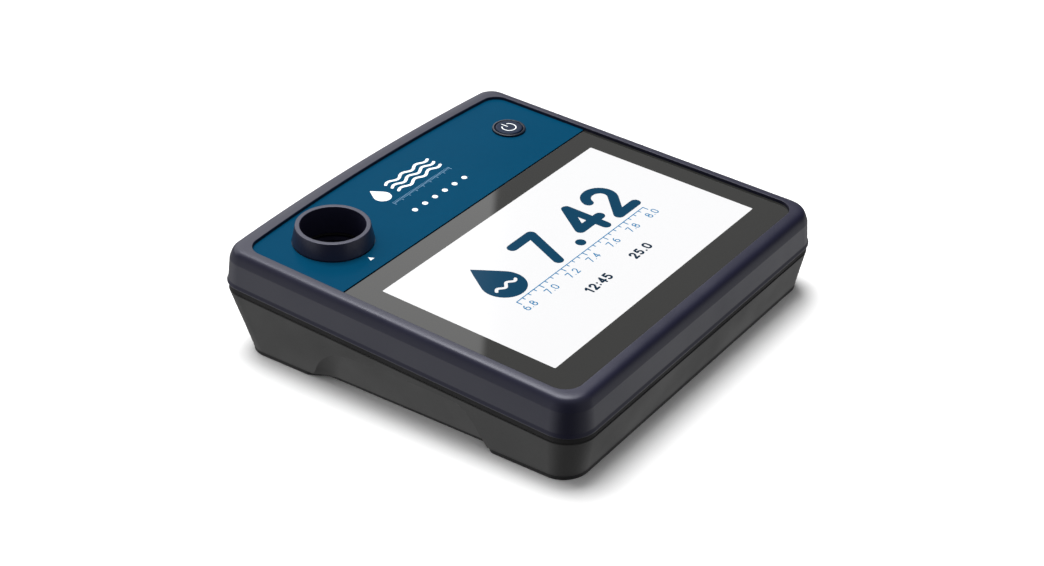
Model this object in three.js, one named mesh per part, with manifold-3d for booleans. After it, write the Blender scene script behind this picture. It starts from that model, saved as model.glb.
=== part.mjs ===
// Digital water tester (bench photometer with a touch screen and one sample well).
// Units are millimetres. +X is the user's right, +Y points away from the user, +Z is up.
// The origin is on the table, at the bottom centre of the instrument.
//
// The deck (screen, blue panel, rim) slopes up towards the back by TILT. Deck pieces are
// written in deck coordinates (u right, v back along the deck, h out of the deck, h = 0 on
// the glass) and hang in one tilted group. The tray, battery and boards are level.
// ORIGIN_Y moves the whole assembly so that the origin is at its bottom centre.

import * as THREE from 'three';
import { mergeVertices } from 'three/addons/utils/BufferGeometryUtils.js';
import Module from 'manifold-3d';

const wasm = await Module();
wasm.setup();

// ---------------------------------------------------------------- driving dimensions
const TILT = THREE.MathUtils.degToRad(3.11); // slope of the deck
const DECK_Y = -0.84;         // deck centre above the table
const DECK_Z = 43.71;
const GAP = 0.3;              // clearance between touching pieces

const ORIGIN_Y = 1.55;

const HALF = 95.8;            // half width of the case at the rim crease, and its front edge
const REAR = 92.7;            // rear edge at the rim crease, at the middle
const REAR_BOW = 0.00042;     // the rear side is bowed: v = REAR - REAR_BOW u^2
const R_FRONT = 12.5;         // plan radius of the front corners at the crease
const R_REAR = 10.0;          // plan radius of the rear corners at the crease
const H_RIM = 1.45;           // rim top above the glass
const H_CREASE = -3.96;       // rim crease
const H_BAND = -15.48;        // lower edge of the upper shell
const H_SEAM = -18.6;         // upper edge of the lower shell
const DRAFT = 1.2;            // the band leans out by this down to the seam
const LIP = 0.45;             // small lip on the band's lower edge
const WALL = 2.5;

const SHOULDER_W = 7.0;       // rounded shoulder between the crease and the rim top
const SHOULDER_N = 2.7;       // its section is a superellipse of this order

const RECESS_X = 89.1;        // half width of the deck recess
const RECESS_FRONT = -88.0;
const RECESS_REAR = 84.15;
const RECESS_BOW = 0.00047;
const RECESS_RF = 8.5;
const RECESS_RR = 8.0;
const SPLIT_V = 27.2;         // line between glass and blue panel
const DECK_UNDER = -4.3;      // underside of the deck

const GLASS_T = 1.8;
const OVERLAY_T = 0.5;

const WELL_U = -59.4;         // sample well axis
const WELL_V = 56.8;
const BORE_R = 14.3;          // collar bore
const COLLAR_TOP_R = 16.4;
const COLLAR_BASE_R = 17.9;
const COLLAR_H = 8.0;
const CHAMBER_R = 13.0;       // chamber bore, for 24 to 25 mm vials

const BUTTON_U = 67.2;        // power button axis
const BUTTON_V = 55.6;
const BEZEL_R = 7.95;
const CAP_R = 6.45;

const BASE_Z = 2.0;           // underside of the tray, above the foot ring
const BASE_X = 94.5;          // half width of the tray's bottom edge
const BASE_FRONT = -93.1;
const BASE_REAR = 82.5;
const BASE_RF = 12.0;
const BASE_RR = 12.0;
const GRIP_FRONT = -53.0;     // finger grips in the side walls
const GRIP_REAR = 44.5;
const GRIP_TOP = 20.6;
const GRIP_DEPTH = 4.2;

const BATTERY_R = 9.2;        // round cells lying along X
const BATTERY_L = 65;
const BATTERY_Y = [-50.2, -30.6];
const BATTERY_Z = 14.6;
const BAY_X = 37.5;
const BAY_Y = [-60.4, -20.4];
const DOOR_X = 49;
const DOOR_Y = [-66.4, -14.4];

const PORT_X = 34;            // connector pocket in the back wall
const PORT_Z = 15.5;

const CASE_SCREWS = [[-82, -83.5], [82, -83.5], [-82, 72.5], [82, 72.5]];

// ---------------------------------------------------------------- helpers
// A three.js geometry becomes a solid once only its shared positions are left.
function solid(geometry) {
  let g = geometry.clone();
  g.deleteAttribute('normal');
  if (g.getAttribute('uv')) g.deleteAttribute('uv');
  g = mergeVertices(g, 1e-4);
  const p = g.getAttribute('position').array;
  const idx = g.getIndex().array;
  let tri = [];
  for (let i = 0; i < idx.length; i += 3) {
    const [a, b, c] = [idx[i], idx[i + 1], idx[i + 2]];
    if (a !== b && b !== c && c !== a) tri.push(a, b, c);
  }
  let vol = 0;
  const v = (k) => new THREE.Vector3(p[3 * k], p[3 * k + 1], p[3 * k + 2]);
  for (let i = 0; i < tri.length; i += 3) vol += v(tri[i]).dot(v(tri[i + 1]).cross(v(tri[i + 2])));
  if (vol < 0) for (let i = 0; i < tri.length; i += 3) [tri[i], tri[i + 1]] = [tri[i + 1], tri[i]];
  return new wasm.Manifold(new wasm.Mesh({
    numProp: 3, vertProperties: new Float32Array(p), triVerts: new Uint32Array(tri),
  }));
}

function geometryOf(manifold) {
  const m = manifold.getMesh();
  const g = new THREE.BufferGeometry();
  g.setAttribute('position', new THREE.BufferAttribute(new Float32Array(m.vertProperties), 3));
  g.setIndex(new THREE.BufferAttribute(new Uint32Array(m.triVerts), 1));
  g.computeVertexNormals();
  return g;
}

const join = (first, ...rest) => rest.reduce((a, b) => a.add(b), first);
const cut = (first, ...rest) => rest.reduce((a, b) => a.subtract(b), first);

function box(x0, x1, y0, y1, z0, z1) {
  const g = new THREE.BoxGeometry(x1 - x0, y1 - y0, z1 - z0);
  g.translate((x0 + x1) / 2, (y0 + y1) / 2, (z0 + z1) / 2);
  return solid(g);
}

// Turned piece: profile of [radius, height] pairs about +Z.
function turnedGeometry(profile, seg = 24) {
  const g = new THREE.LatheGeometry(profile.map(([r, z]) => new THREE.Vector2(r, z)), seg);
  g.rotateX(Math.PI / 2);
  return g;
}
function rod(r, z0, z1, x = 0, y = 0, seg = 24) {
  const g = turnedGeometry([[0, z0], [r, z0], [r, z1], [0, z1]], seg);
  g.translate(x, y, 0);
  return solid(g);
}
// A rod along X.
function rodX(r, x0, x1, y, z, seg = 24) {
  const g = turnedGeometry([[0, x0], [r, x0], [r, x1], [0, x1]], seg);
  g.rotateY(Math.PI / 2);
  g.translate(0, y, z);
  return solid(g);
}

// Rounded rectangle, counter-clockwise, with separate front and rear radii.
function roundRect(hx, yFront, yRear, rf, rr, seg = 6) {
  const pts = [];
  const arc = (cx, cy, r, a0) => {
    for (let i = 0; i <= seg; i++) {
      const a = a0 + (Math.PI / 2) * (i / seg);
      pts.push([cx + r * Math.cos(a), cy + r * Math.sin(a)]);
    }
  };
  arc(hx - rf, yFront + rf, rf, -Math.PI / 2);
  arc(hx - rr, yRear - rr, rr, 0);
  arc(-hx + rr, yRear - rr, rr, Math.PI / 2);
  arc(-hx + rf, yFront + rf, rf, Math.PI);
  return pts;
}
// The same with a bowed rear side, y = yRear - bow x^2, split into n.
function bowedRect(hx, yFront, yRear, rf, rr, bow, seg = 6, n = 8) {
  const pts = roundRect(hx, yFront, yFront + 4 * rf, rf, rf, seg);
  const front = [pts.slice(0, seg + 1), pts.slice(3 * (seg + 1))];
  const xc = hx - rr, lean = Math.atan(2 * bow * xc), xt = xc + rr * Math.sin(lean);
  const yc = yRear - bow * xt * xt - rr * Math.cos(lean);
  const corner = [];
  for (let i = 0; i <= seg; i++) {
    const a = (Math.PI / 2 - lean) * (i / seg);
    corner.push([xc + rr * Math.cos(a), yc + rr * Math.sin(a)]);
  }
  const rear = [];
  for (let i = 1; i < n; i++) {
    const x = xt * (1 - (2 * i) / n);
    rear.push([x, yRear - bow * x * x]);
  }
  return [...front[0], ...corner, ...rear, ...corner.map(([x, y]) => [-x, y]).reverse(), ...front[1]];
}
const caseOutline = (off, seg = 6) =>
  bowedRect(HALF + off, -HALF - off, REAR + off, R_FRONT + off, R_REAR + off, REAR_BOW, seg);
const recessOutline = (gap, seg = 5) => bowedRect(RECESS_X - gap, RECESS_FRONT + gap, RECESS_REAR - gap,
  RECESS_RF - gap, RECESS_RR - gap, RECESS_BOW, seg);

// Closed skin through stacked outlines that all have the same number of points.
function loftGeometry(rings) {
  const n = rings[0].length;
  const pos = [];
  rings.forEach((r) => r.forEach((q) => pos.push(...q)));
  const idx = [];
  for (let k = 0; k + 1 < rings.length; k++) {
    for (let i = 0; i < n; i++) {
      const a = k * n + i, b = k * n + ((i + 1) % n), c = a + n, d = b + n;
      idx.push(a, b, d, a, d, c);
    }
  }
  const cap = (k, up) => {
    const flat = rings[k].map((q) => new THREE.Vector2(q[0], q[1]));
    for (const [a, b, c] of THREE.ShapeUtils.triangulateShape(flat, [])) {
      idx.push(k * n + a, k * n + (up ? b : c), k * n + (up ? c : b));
    }
  };
  cap(0, false);
  cap(rings.length - 1, true);
  const g = new THREE.BufferGeometry();
  g.setAttribute('position', new THREE.Float32BufferAttribute(pos, 3));
  g.setIndex(idx);
  g.computeVertexNormals();
  return g;
}
const at = (outline, z) => outline.map(([x, y]) => [x, y, z]);
const loft = (...rings) => solid(loftGeometry(rings));

// Flat piece: an outline with holes, from z0 to z1.
function plate(outline, z0, z1, holes = []) {
  const s = new THREE.Shape(outline.map(([x, y]) => new THREE.Vector2(x, y)));
  for (const h of holes) s.holes.push(new THREE.Path(h.map(([x, y]) => new THREE.Vector2(x, y))));
  const g = new THREE.ExtrudeGeometry(s, { depth: z1 - z0, bevelEnabled: false });
  g.translate(0, 0, z0);
  return g;
}
const slab = (outline, z0, z1, holes) => solid(plate(outline, z0, z1, holes));
function circle(r, x, y, seg = 24) {
  return Array.from({ length: seg }, (_, i) => {
    const a = (2 * Math.PI * i) / seg;
    return [x + r * Math.cos(a), y + r * Math.sin(a)];
  });
}

// Deck coordinates to table coordinates.
const deckMatrix = new THREE.Matrix4().makeRotationX(TILT).setPosition(0, DECK_Y, DECK_Z);
const tableMatrix = deckMatrix.clone().invert();
function fromDeck([u, v, h]) {
  const q = new THREE.Vector3(u, v, h).applyMatrix4(deckMatrix);
  return [q.x, q.y, q.z];
}
// A level solid, written in deck coordinates so that it can join a deck piece.
const levelRod = (r, z0, z1, x, y, seg = 16) => {
  const g = turnedGeometry([[0, z0], [r, z0], [r, z1], [0, z1]], seg);
  g.translate(x, y, 0);
  g.applyMatrix4(tableMatrix);
  return solid(g);
};

// ---------------------------------------------------------------- scene graph
const tester = new THREE.Group();
const body = new THREE.Group();
body.position.set(0, ORIGIN_Y, 0);
tester.add(body);
const deck = new THREE.Group();
deck.rotation.x = TILT;
deck.position.set(0, DECK_Y, DECK_Z);
body.add(deck);

const finish = (color, roughness, metalness = 0, extra = {}) => () =>
  new THREE.MeshStandardMaterial({ color, roughness, metalness, ...extra });
const navy = finish(0x35354a, 0.45);
const grey = finish(0x4a4a4a, 0.55);
const rubber = finish(0x1d1d1d, 0.85);
const blue = finish(0x0c5477, 0.4);
const black = finish(0x17171c, 0.6);
const steel = finish(0xb9bcc0, 0.35, 1);
const board = finish(0x1d5a3a, 0.5);
const chip = finish(0x202022, 0.5);

function piece(parent, name, manifold, material, place = [0, 0, 0]) {
  const mesh = new THREE.Mesh(geometryOf(manifold), material());
  mesh.name = name;
  mesh.position.set(...place);
  parent.add(mesh);
  return mesh;
}

// Pan-head screw pointing up (+Z): head below z = 0, shank above it.
function screwSolid(rHead, tHead, rShank, length) {
  return cut(
    solid(turnedGeometry([[0, -tHead], [rHead * 0.85, -tHead], [rHead, -tHead * 0.6], [rHead, 0],
      [rShank, 0], [rShank, length], [0, length]], 12)),
    box(-rHead * 0.7, rHead * 0.7, -0.35, 0.35, -tHead - 1, -tHead * 0.5));
}
function flipped(manifold) {
  const g = geometryOf(manifold);
  g.rotateX(Math.PI);
  return solid(g);
}

// ---------------------------------------------------------------- upper shell
// Rim shoulder: rises steeply from the crease and arrives flat at the rim top.
const shoulder = [];
for (let i = 1; i <= 6; i++) {
  const a = (Math.PI / 2) * (i / 6);
  shoulder.push([-SHOULDER_W * (1 - Math.cos(a) ** (2 / SHOULDER_N)),
    H_CREASE + (H_RIM - H_CREASE) * Math.sin(a) ** (2 / SHOULDER_N)]);
}
{
  const outer = loft(
    at(caseOutline(DRAFT + LIP), H_BAND),
    at(caseOutline(DRAFT + LIP), H_BAND + 0.7),
    at(caseOutline(DRAFT - 0.1), H_BAND + 1.3),
    at(caseOutline(0), H_CREASE),
    ...shoulder.map(([off, h]) => at(caseOutline(off), h)),
  );
  const cavity = loft(
    at(caseOutline(DRAFT - WALL), H_BAND - 1),
    at(caseOutline(-WALL), -6.0),
    at(caseOutline(-WALL - 1.6), DECK_UNDER),
  );
  const recess = slab(recessOutline(0), -0.8, 5);
  const glassBed = loft(
    at(roundRect(RECESS_X, RECESS_FRONT, SPLIT_V, RECESS_RF, 0.4, 5), -GLASS_T - GAP),
    at(roundRect(RECESS_X, RECESS_FRONT, SPLIT_V, RECESS_RF, 0.4, 5), 1),
  );
  const screenHole = box(-82.9, 82.9, -79.2, 21.8, -6, 0);
  const wellHole = rod(16.4, -6, 1, WELL_U, WELL_V, 32);
  const buttonHole = rod(CAP_R + 0.35, -6, 1, BUTTON_U, BUTTON_V, 24);
  let shell = cut(outer, cavity, recess, glassBed, screenHole, wellHole, buttonHole);
  // bosses for the display bracket, the chamber and the button board
  for (const [u, v] of [[-87.3, -60], [87.3, -60], [-87.3, 6], [87.3, 6]]) {
    shell = shell.add(rod(2.6, -7.8, DECK_UNDER + 0.2, u, v, 14));
    shell = shell.subtract(rod(1.5, -8.5, -5.0, u, v, 12));
  }
  for (const s of [-1, 1]) {
    shell = shell.add(rod(3.0, -7.0, DECK_UNDER + 0.2, WELL_U + s * 21.5, WELL_V, 14));
    shell = shell.subtract(rod(1.5, -8, -5.0, WELL_U + s * 21.5, WELL_V, 12));
    shell = shell.add(rod(2.0, -11.1, DECK_UNDER + 0.2, BUTTON_U + s * 10.6, BUTTON_V, 14));
    shell = shell.subtract(rod(1.2, -12, -6.0, BUTTON_U + s * 10.6, BUTTON_V, 12));
  }
  for (const [x, y] of CASE_SCREWS) {
    const top = DECK_Z + (y - DECK_Y) * Math.sin(TILT) + DECK_UNDER + 0.1;
    shell = shell.add(levelRod(3.4, 20.3, top, x, y, 14));
    shell = shell.subtract(levelRod(1.7, 19, 31, x, y, 12));
  }
  piece(deck, 'upper_shell', shell, navy);
}

// Black seal in the joint between the two halves.
piece(deck, 'seam_gasket', cut(
  slab(caseOutline(DRAFT - 0.3), H_SEAM + GAP, H_BAND - GAP),
  slab(caseOutline(DRAFT - 2.4), H_SEAM - 1, H_BAND + 1)), rubber);

// ---------------------------------------------------------------- deck pieces
piece(deck, 'cover_glass', slab(
  roundRect(RECESS_X - GAP, RECESS_FRONT + GAP, SPLIT_V - 0.2, RECESS_RF - GAP, 0.4, 5), -GLASS_T, 0),
finish(0x1a1a1a, 0.12));

piece(deck, 'control_overlay', slab(
  bowedRect(RECESS_X - GAP, SPLIT_V + 0.2, RECESS_REAR - GAP, 0.4, RECESS_RR - GAP, RECESS_BOW, 5), -OVERLAY_T, 0,
  [circle(COLLAR_BASE_R + 0.4, WELL_U, WELL_V, 32), circle(BEZEL_R + GAP, BUTTON_U, BUTTON_V, 24)]), blue);

const MODULE_BACK = -7.8;
piece(deck, 'display_module', box(-82.45, 82.45, -78.7, 21.3, MODULE_BACK, -GLASS_T - GAP),
  finish(0xf4f6f8, 0.3, 0, { emissive: 0xffffff, emissiveIntensity: 0.6 }));

{
  let bracket = slab(
    roundRect(90.6, -79.0, 23.5, 2, 2, 2), MODULE_BACK - GAP - 1.2, MODULE_BACK - GAP,
    [roundRect(70, -58, 6, 3, 3, 2)]);
  for (const [u, v] of [[-87.3, -60], [87.3, -60], [-87.3, 6], [87.3, 6]]) {
    bracket = bracket.subtract(rod(1.6, -12, -7, u, v, 12));
  }
  piece(deck, 'display_bracket', bracket, steel);
  [[-87.3, -60], [87.3, -60], [-87.3, 6], [87.3, 6]].forEach(([u, v], i) =>
    piece(deck, `bracket_screw_${i + 1}`, screwSolid(2.6, 1.6, 1.2, 4.2), steel,
      [u, v, MODULE_BACK - GAP - 1.2 - GAP]));
}

// ---------------------------------------------------------------- sample well
piece(deck, 'sample_collar', solid(turnedGeometry([
  [BORE_R, -5.5], [16.1, -5.5], [16.1, -0.5], [COLLAR_BASE_R - 0.5, -0.5], [COLLAR_BASE_R, 0.4],
  [COLLAR_BASE_R, 1.2], [COLLAR_TOP_R, COLLAR_H - 0.4], [COLLAR_TOP_R - 0.4, COLLAR_H],
  [BORE_R + 0.3, COLLAR_H], [BORE_R, COLLAR_H - 0.4], [BORE_R, -5.5]], 40)), navy, [WELL_U, WELL_V, 0]);

piece(deck, 'collar_seal', solid(turnedGeometry([
  [14.5, -6.7], [15.0, -7.0], [15.9, -7.0], [16.2, -6.6], [16.2, -6.1], [15.9, -5.8], [15.0, -5.8],
  [14.5, -6.1], [14.5, -6.7]], 32)), rubber, [WELL_U, WELL_V, 0]);

const CHAMBER_TOP = -7.3, CHAMBER_FLOOR = -37.5, BEAM_H = -26;
{
  let chamber = solid(turnedGeometry([
    [0, CHAMBER_FLOOR - 2.5], [15.5, CHAMBER_FLOOR - 2.5], [15.5, CHAMBER_TOP - 2], [18.5, CHAMBER_TOP - 2],
    [18.5, CHAMBER_TOP], [CHAMBER_R + 0.8, CHAMBER_TOP], [CHAMBER_R, CHAMBER_TOP - 1], [CHAMBER_R, CHAMBER_FLOOR],
    [0, CHAMBER_FLOOR]], 32));
  for (const s of [-1, 1]) {
    const ear = s > 0 ? box(15, 25.2, -4, 4, CHAMBER_TOP - 2, CHAMBER_TOP)
      : box(-25.2, -15, -4, 4, CHAMBER_TOP - 2, CHAMBER_TOP);
    chamber = cut(chamber.add(ear), rod(1.7, CHAMBER_TOP - 3, CHAMBER_TOP + 1, s * 21.5, 0, 12));
    for (const w of [-1, 1]) {
      const rib = [w > 0 ? 7 : -9, w > 0 ? 9 : -7];
      chamber = chamber.add(s > 0 ? box(12.6, 19.7, rib[0], rib[1], BEAM_H - 7, BEAM_H + 7)
        : box(-19.7, -12.6, rib[0], rib[1], BEAM_H - 7, BEAM_H + 7));
    }
  }
  chamber = cut(chamber, rod(CHAMBER_R, CHAMBER_FLOOR, CHAMBER_TOP + 1, 0, 0, 32),
    rodX(3.0, -17, 17, 0, BEAM_H, 20));
  piece(deck, 'sample_chamber', chamber, black, [WELL_U, WELL_V, 0]);
}
piece(deck, 'source_window', rodX(2.7, 13.4, 15.0, 0, BEAM_H, 20),
  finish(0xdfe8ee, 0.05, 0, { transparent: true, opacity: 0.4 }), [WELL_U, WELL_V, 0]);
piece(deck, 'detector_window', rodX(2.7, -15.0, -13.4, 0, BEAM_H, 20),
  finish(0xdfe8ee, 0.05, 0, { transparent: true, opacity: 0.4 }), [WELL_U, WELL_V, 0]);
piece(deck, 'source_led', join(rodX(2.5, 16.2, 19.8, 0, BEAM_H, 16), rodX(2.9, 18.8, 19.7, 0, BEAM_H, 16)),
  finish(0xe8e4d8, 0.2), [WELL_U, WELL_V, 0]);
piece(deck, 'led_board', box(20.0, 21.6, -9.2, 9.2, BEAM_H - 9, BEAM_H + 9), board, [WELL_U, WELL_V, 0]);
piece(deck, 'photodiode', rodX(4.0, -19.7, -16.4, 0, BEAM_H, 16), steel, [WELL_U, WELL_V, 0]);
piece(deck, 'detector_board', box(-21.6, -20.0, -9.2, 9.2, BEAM_H - 9, BEAM_H + 9), board, [WELL_U, WELL_V, 0]);
[-1, 1].forEach((s, i) => piece(deck, `chamber_screw_${i + 1}`, screwSolid(2.8, 1.6, 1.2, 4.0), steel,
  [WELL_U + s * 21.5, WELL_V, CHAMBER_TOP - 2 - GAP]));

// ---------------------------------------------------------------- power button
const onButton = [BUTTON_U, BUTTON_V, 0];
piece(deck, 'button_bezel', solid(turnedGeometry([
  [CAP_R + 0.35, -0.5], [BEZEL_R, -0.5], [BEZEL_R, 0.6], [BEZEL_R - 0.45, 1.05], [CAP_R + 0.55, 1.05],
  [CAP_R + 0.35, 0.85], [CAP_R + 0.35, -0.5]], 32)), finish(0x6f7488, 0.35), onButton);
piece(deck, 'power_button_cap', solid(turnedGeometry([
  [0, -6.2], [8.2, -6.2], [8.2, -4.6], [CAP_R, -4.6], [CAP_R, 1.05], [CAP_R - 0.5, 1.4], [0, 1.4]], 28)),
finish(0x14243a, 0.4), onButton);
piece(deck, 'switch_plunger', rod(1.75, -9.2, -6.5, 0, 0, 14), finish(0x2b2b2e, 0.5), onButton);
piece(deck, 'tactile_switch', cut(box(-3, 3, -3, 3, -11.1, -7.6), rod(2.05, -10.2, -7, 0, 0, 14)),
  finish(0x8c8f94, 0.35, 0.8), onButton);
{
  let b = box(-13, 13, -8, 8, -13.0, -11.4);
  for (const s of [-1, 1]) b = b.subtract(rod(1.4, -14, -11, s * 10.6, 0, 12));
  piece(deck, 'button_board', b, board, onButton);
  [-1, 1].forEach((s, i) => piece(deck, `button_board_screw_${i + 1}`, screwSolid(2.1, 1.3, 0.9, 6.0), steel,
    [BUTTON_U + s * 10.6, BUTTON_V, -13.0 - GAP]));
}

// ---------------------------------------------------------------- lower shell
const baseOutline = (inset, seg = 6) => bowedRect(BASE_X - inset, BASE_FRONT + inset, BASE_REAR - inset,
  BASE_RF - inset, BASE_RR - inset, 0, seg);
// A finger grip: shallow at its top edge, GRIP_DEPTH deep at the bottom edge.
function gripCutter(side) {
  const outer = [[GRIP_REAR, BASE_Z - 2], [40.9, 4.7], [39.6, 7.7], [36.7, 12], [32, 16.4], [25.8, 19.5],
    [19, GRIP_TOP], [-34, GRIP_TOP], [-41.5, 18.5], [-45.6, 13.8], [-49.1, 7.2], [GRIP_FRONT, BASE_Z - 2]];
  const inner = [[33, BASE_Z - 2], [31.5, 4.7], [30, 7.7], [28, 12], [25, 16.4], [21, 19.5],
    [16, GRIP_TOP], [-31, GRIP_TOP], [-38.5, 18.5], [-42.6, 13.8], [-46.1, 7.2], [-49, BASE_Z - 2]];
  // at the side wall's outer face, and at full depth
  const face = (z) => 97.0 - (25.0 - z) * (2.5 / 23.0) + 0.35;
  const rings = [
    outer.map(([y, z]) => [side * (face(z) + 4), y, z]),
    outer.map(([y, z]) => [side * face(z), y, z]),
    inner.map(([y, z]) => [side * (face(z) - 0.35 - GRIP_DEPTH * (GRIP_TOP - z) / (GRIP_TOP - BASE_Z)), y, z]),
  ];
  const n = outer.length, pos = [], idx = [];
  rings.forEach((r) => r.forEach((q) => pos.push(...q)));
  for (let k = 0; k < 2; k++) {
    for (let i = 0; i < n; i++) {
      const a = k * n + i, b = k * n + ((i + 1) % n), c = a + n, d = b + n;
      idx.push(a, b, d, a, d, c);
    }
  }
  for (const [k, up] of [[0, false], [2, true]]) {
    for (let i = 1; i + 1 < n; i++) idx.push(k * n, k * n + (up ? i : i + 1), k * n + (up ? i + 1 : i));
  }
  const g = new THREE.BufferGeometry();
  g.setAttribute('position', new THREE.Float32BufferAttribute(pos, 3));
  g.setIndex(idx);
  g.computeVertexNormals();
  return solid(g);
}
// Back wall frame: origin on the outer face at the port centre, s up the wall, n out of it.
const wallTop = fromDeck([0, REAR - REAR_BOW * PORT_X ** 2 + DRAFT, H_SEAM]);
const wallDir = new THREE.Vector3(0, wallTop[1] - BASE_REAR, wallTop[2] - BASE_Z).normalize();
const wallOut = new THREE.Vector3(0, wallDir.z, -wallDir.y);
const portOrigin = new THREE.Vector3(PORT_X, BASE_REAR + wallDir.y / wallDir.z * (PORT_Z - BASE_Z), PORT_Z);
const wallMatrix = new THREE.Matrix4().makeBasis(new THREE.Vector3(-1, 0, 0), wallDir, wallOut)
  .setPosition(portOrigin);
// A box written against the back wall: x across, s up the wall, n out of the wall.
function wallBox(x0, x1, s0, s1, n0, n1) {
  const g = new THREE.BoxGeometry(x1 - x0, s1 - s0, n1 - n0);
  g.translate((x0 + x1) / 2, (s0 + s1) / 2, (n0 + n1) / 2);
  g.applyMatrix4(wallMatrix);
  return solid(g);
}
const BOARD_POSTS = [[-54, -72], [54, -72], [-54, 14], [54, 14]];
const USB_POSTS = [[26, 63.8], [42, 63.8]];
{
  const top = caseOutline(DRAFT).map(([u, v]) => fromDeck([u, v, H_SEAM]));
  const outer = loft(at(baseOutline(1.2), BASE_Z), at(baseOutline(0.2), BASE_Z + 0.9), top);
  const topIn = caseOutline(DRAFT - WALL).map(([u, v]) => fromDeck([u, v, H_SEAM + 1]));
  let hollow = loft(at(baseOutline(WALL + 0.8), BASE_Z + WALL), topIn);
  // the walls stay thick behind the grips, round the door and at the port
  hollow = cut(hollow,
    box(-97, -87.6, -57, 48, 0, 22.6), box(87.6, 97, -57, 48, 0, 22.6),
    box(-DOOR_X - 2, DOOR_X + 2, DOOR_Y[0] - 2, DOOR_Y[1] + 2, 0, 7.0),
    wallBox(-15.5, 15.5, -10.2, 10.2, -7.6, 1));
  let tray = cut(outer, hollow, gripCutter(1), gripCutter(-1));
  // battery bay: walls round the cells, open at the bottom
  tray = tray.add(cut(
    box(-BAY_X - 2, BAY_X + 2, BAY_Y[0] - 2, BAY_Y[1] + 2, 5, 24.0),
    box(-BAY_X, BAY_X, BAY_Y[0], BAY_Y[1], 0, 30)));
  tray = cut(tray,
    box(-BAY_X, BAY_X, BAY_Y[0], BAY_Y[1], 0, 30),
    box(-DOOR_X - GAP, DOOR_X + GAP, DOOR_Y[0] - GAP, DOOR_Y[1] + GAP, 0, BASE_Z + 2.5));
  for (const s of [-1, 1]) tray = tray.subtract(rod(1.9, 3, 6.2, s * 44, -40.4, 12));
  // posts for the boards
  for (const [x, y] of BOARD_POSTS) {
    tray = cut(tray.add(rod(3.2, BASE_Z + WALL - 0.4, 24.7, x, y, 14)), rod(1.5, 17, 26, x, y, 12));
  }
  for (const [x, y] of USB_POSTS) {
    tray = cut(tray.add(rod(2.6, BASE_Z + WALL - 0.4, 11.5, x, y, 14)), rod(1.2, 6, 12, x, y, 12));
  }
  // columns for the case screws, counterbored from below
  for (const [x, y] of CASE_SCREWS) {
    tray = tray.add(rod(5.0, BASE_Z + WALL - 0.4, 20.0, x, y, 16));
    tray = cut(tray, rod(3.3, 0, 11.3, x, y, 16), rod(1.8, 10, 22, x, y, 12));
  }
  // port: a shallow seat for the rubber flap, a pocket for the plug, a hole for the socket
  tray = cut(tray,
    wallBox(-13, 13, -8.3, 8.3, -1.8, 3),
    wallBox(-8.8, 8.8, -4.8, 4.8, -5.6, 3),
    box(PORT_X - 4.95, PORT_X + 4.95, 60, 90, PORT_Z - 2.15, PORT_Z + 2.15));
  piece(body, 'lower_shell', tray, grey);
}

// Rubber foot ring under the tray's edge. It steps in at the finger grips.
{
  const stepIn = (inset) => {
    const pts = [];
    for (const [x, y] of baseOutline(inset)) pts.push([x, y]);
    const a = BASE_X - inset, b = a - GRIP_DEPTH - 0.3;
    const right = pts.slice(0, 7), rest = pts.slice(7, 28), left = pts.slice(28);
    return [...right, [a, -54], [b, -47], [b, 35], [a, 46], ...rest, [-a, 46], [-b, 35], [-b, -47], [-a, -54], ...left];
  };
  piece(body, 'base_ring', slab(stepIn(0.5), 0, BASE_Z - GAP, [stepIn(4.4)]), rubber);
}

// ---------------------------------------------------------------- battery
BATTERY_Y.forEach((y, i) => {
  const s = i === 0 ? 1 : -1;
  const g = turnedGeometry([[0, -BATTERY_L / 2], [BATTERY_R - 0.4, -BATTERY_L / 2], [BATTERY_R, -BATTERY_L / 2 + 0.4],
    [BATTERY_R, BATTERY_L / 2 - 1.8], [BATTERY_R - 0.6, BATTERY_L / 2 - 1.2], [3.2, BATTERY_L / 2 - 1.2],
    [3.2, BATTERY_L / 2], [0, BATTERY_L / 2]], 24);
  g.rotateY(s * Math.PI / 2);
  piece(body, `battery_cell_${i + 1}`, solid(g), finish(0x2d6fa3, 0.4), [0, y, BATTERY_Z]);
});
piece(body, 'battery_link_plate', box(-36.9, -33.1, BAY_Y[0] + 1.2, BAY_Y[1] - 1.2, 10, 19), steel);
BATTERY_Y.forEach((y, i) => piece(body, `battery_terminal_${i + 1}`,
  box(33.1, 36.9, y - 4.5, y + 4.5, 10, 19), steel));

{
  const outline = roundRect(DOOR_X, DOOR_Y[0], DOOR_Y[1], 3, 3, 3);
  let door = slab(outline, BASE_Z, BASE_Z + 2.2);
  for (const s of [-1, 1]) {
    door = cut(door, rod(1.5, 0, 6, s * 44, -40.4, 12), rod(3.1, 0, BASE_Z + 1.3, s * 44, -40.4, 16));
  }
  // ribs that press on the cells
  for (const x of [-20, 0, 20]) door = door.add(box(x - 0.8, x + 0.8, BAY_Y[0] + 2, BAY_Y[1] - 2, BASE_Z + 2.0, BASE_Z + 2.9));
  piece(body, 'battery_door', door, grey);
  [-1, 1].forEach((s, i) => piece(body, `door_screw_${i + 1}`, screwSolid(2.8, 1.2, 1.2, 2.2), steel,
    [s * 44, -40.4, BASE_Z + 1.3 - 0.1]));
}

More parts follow.
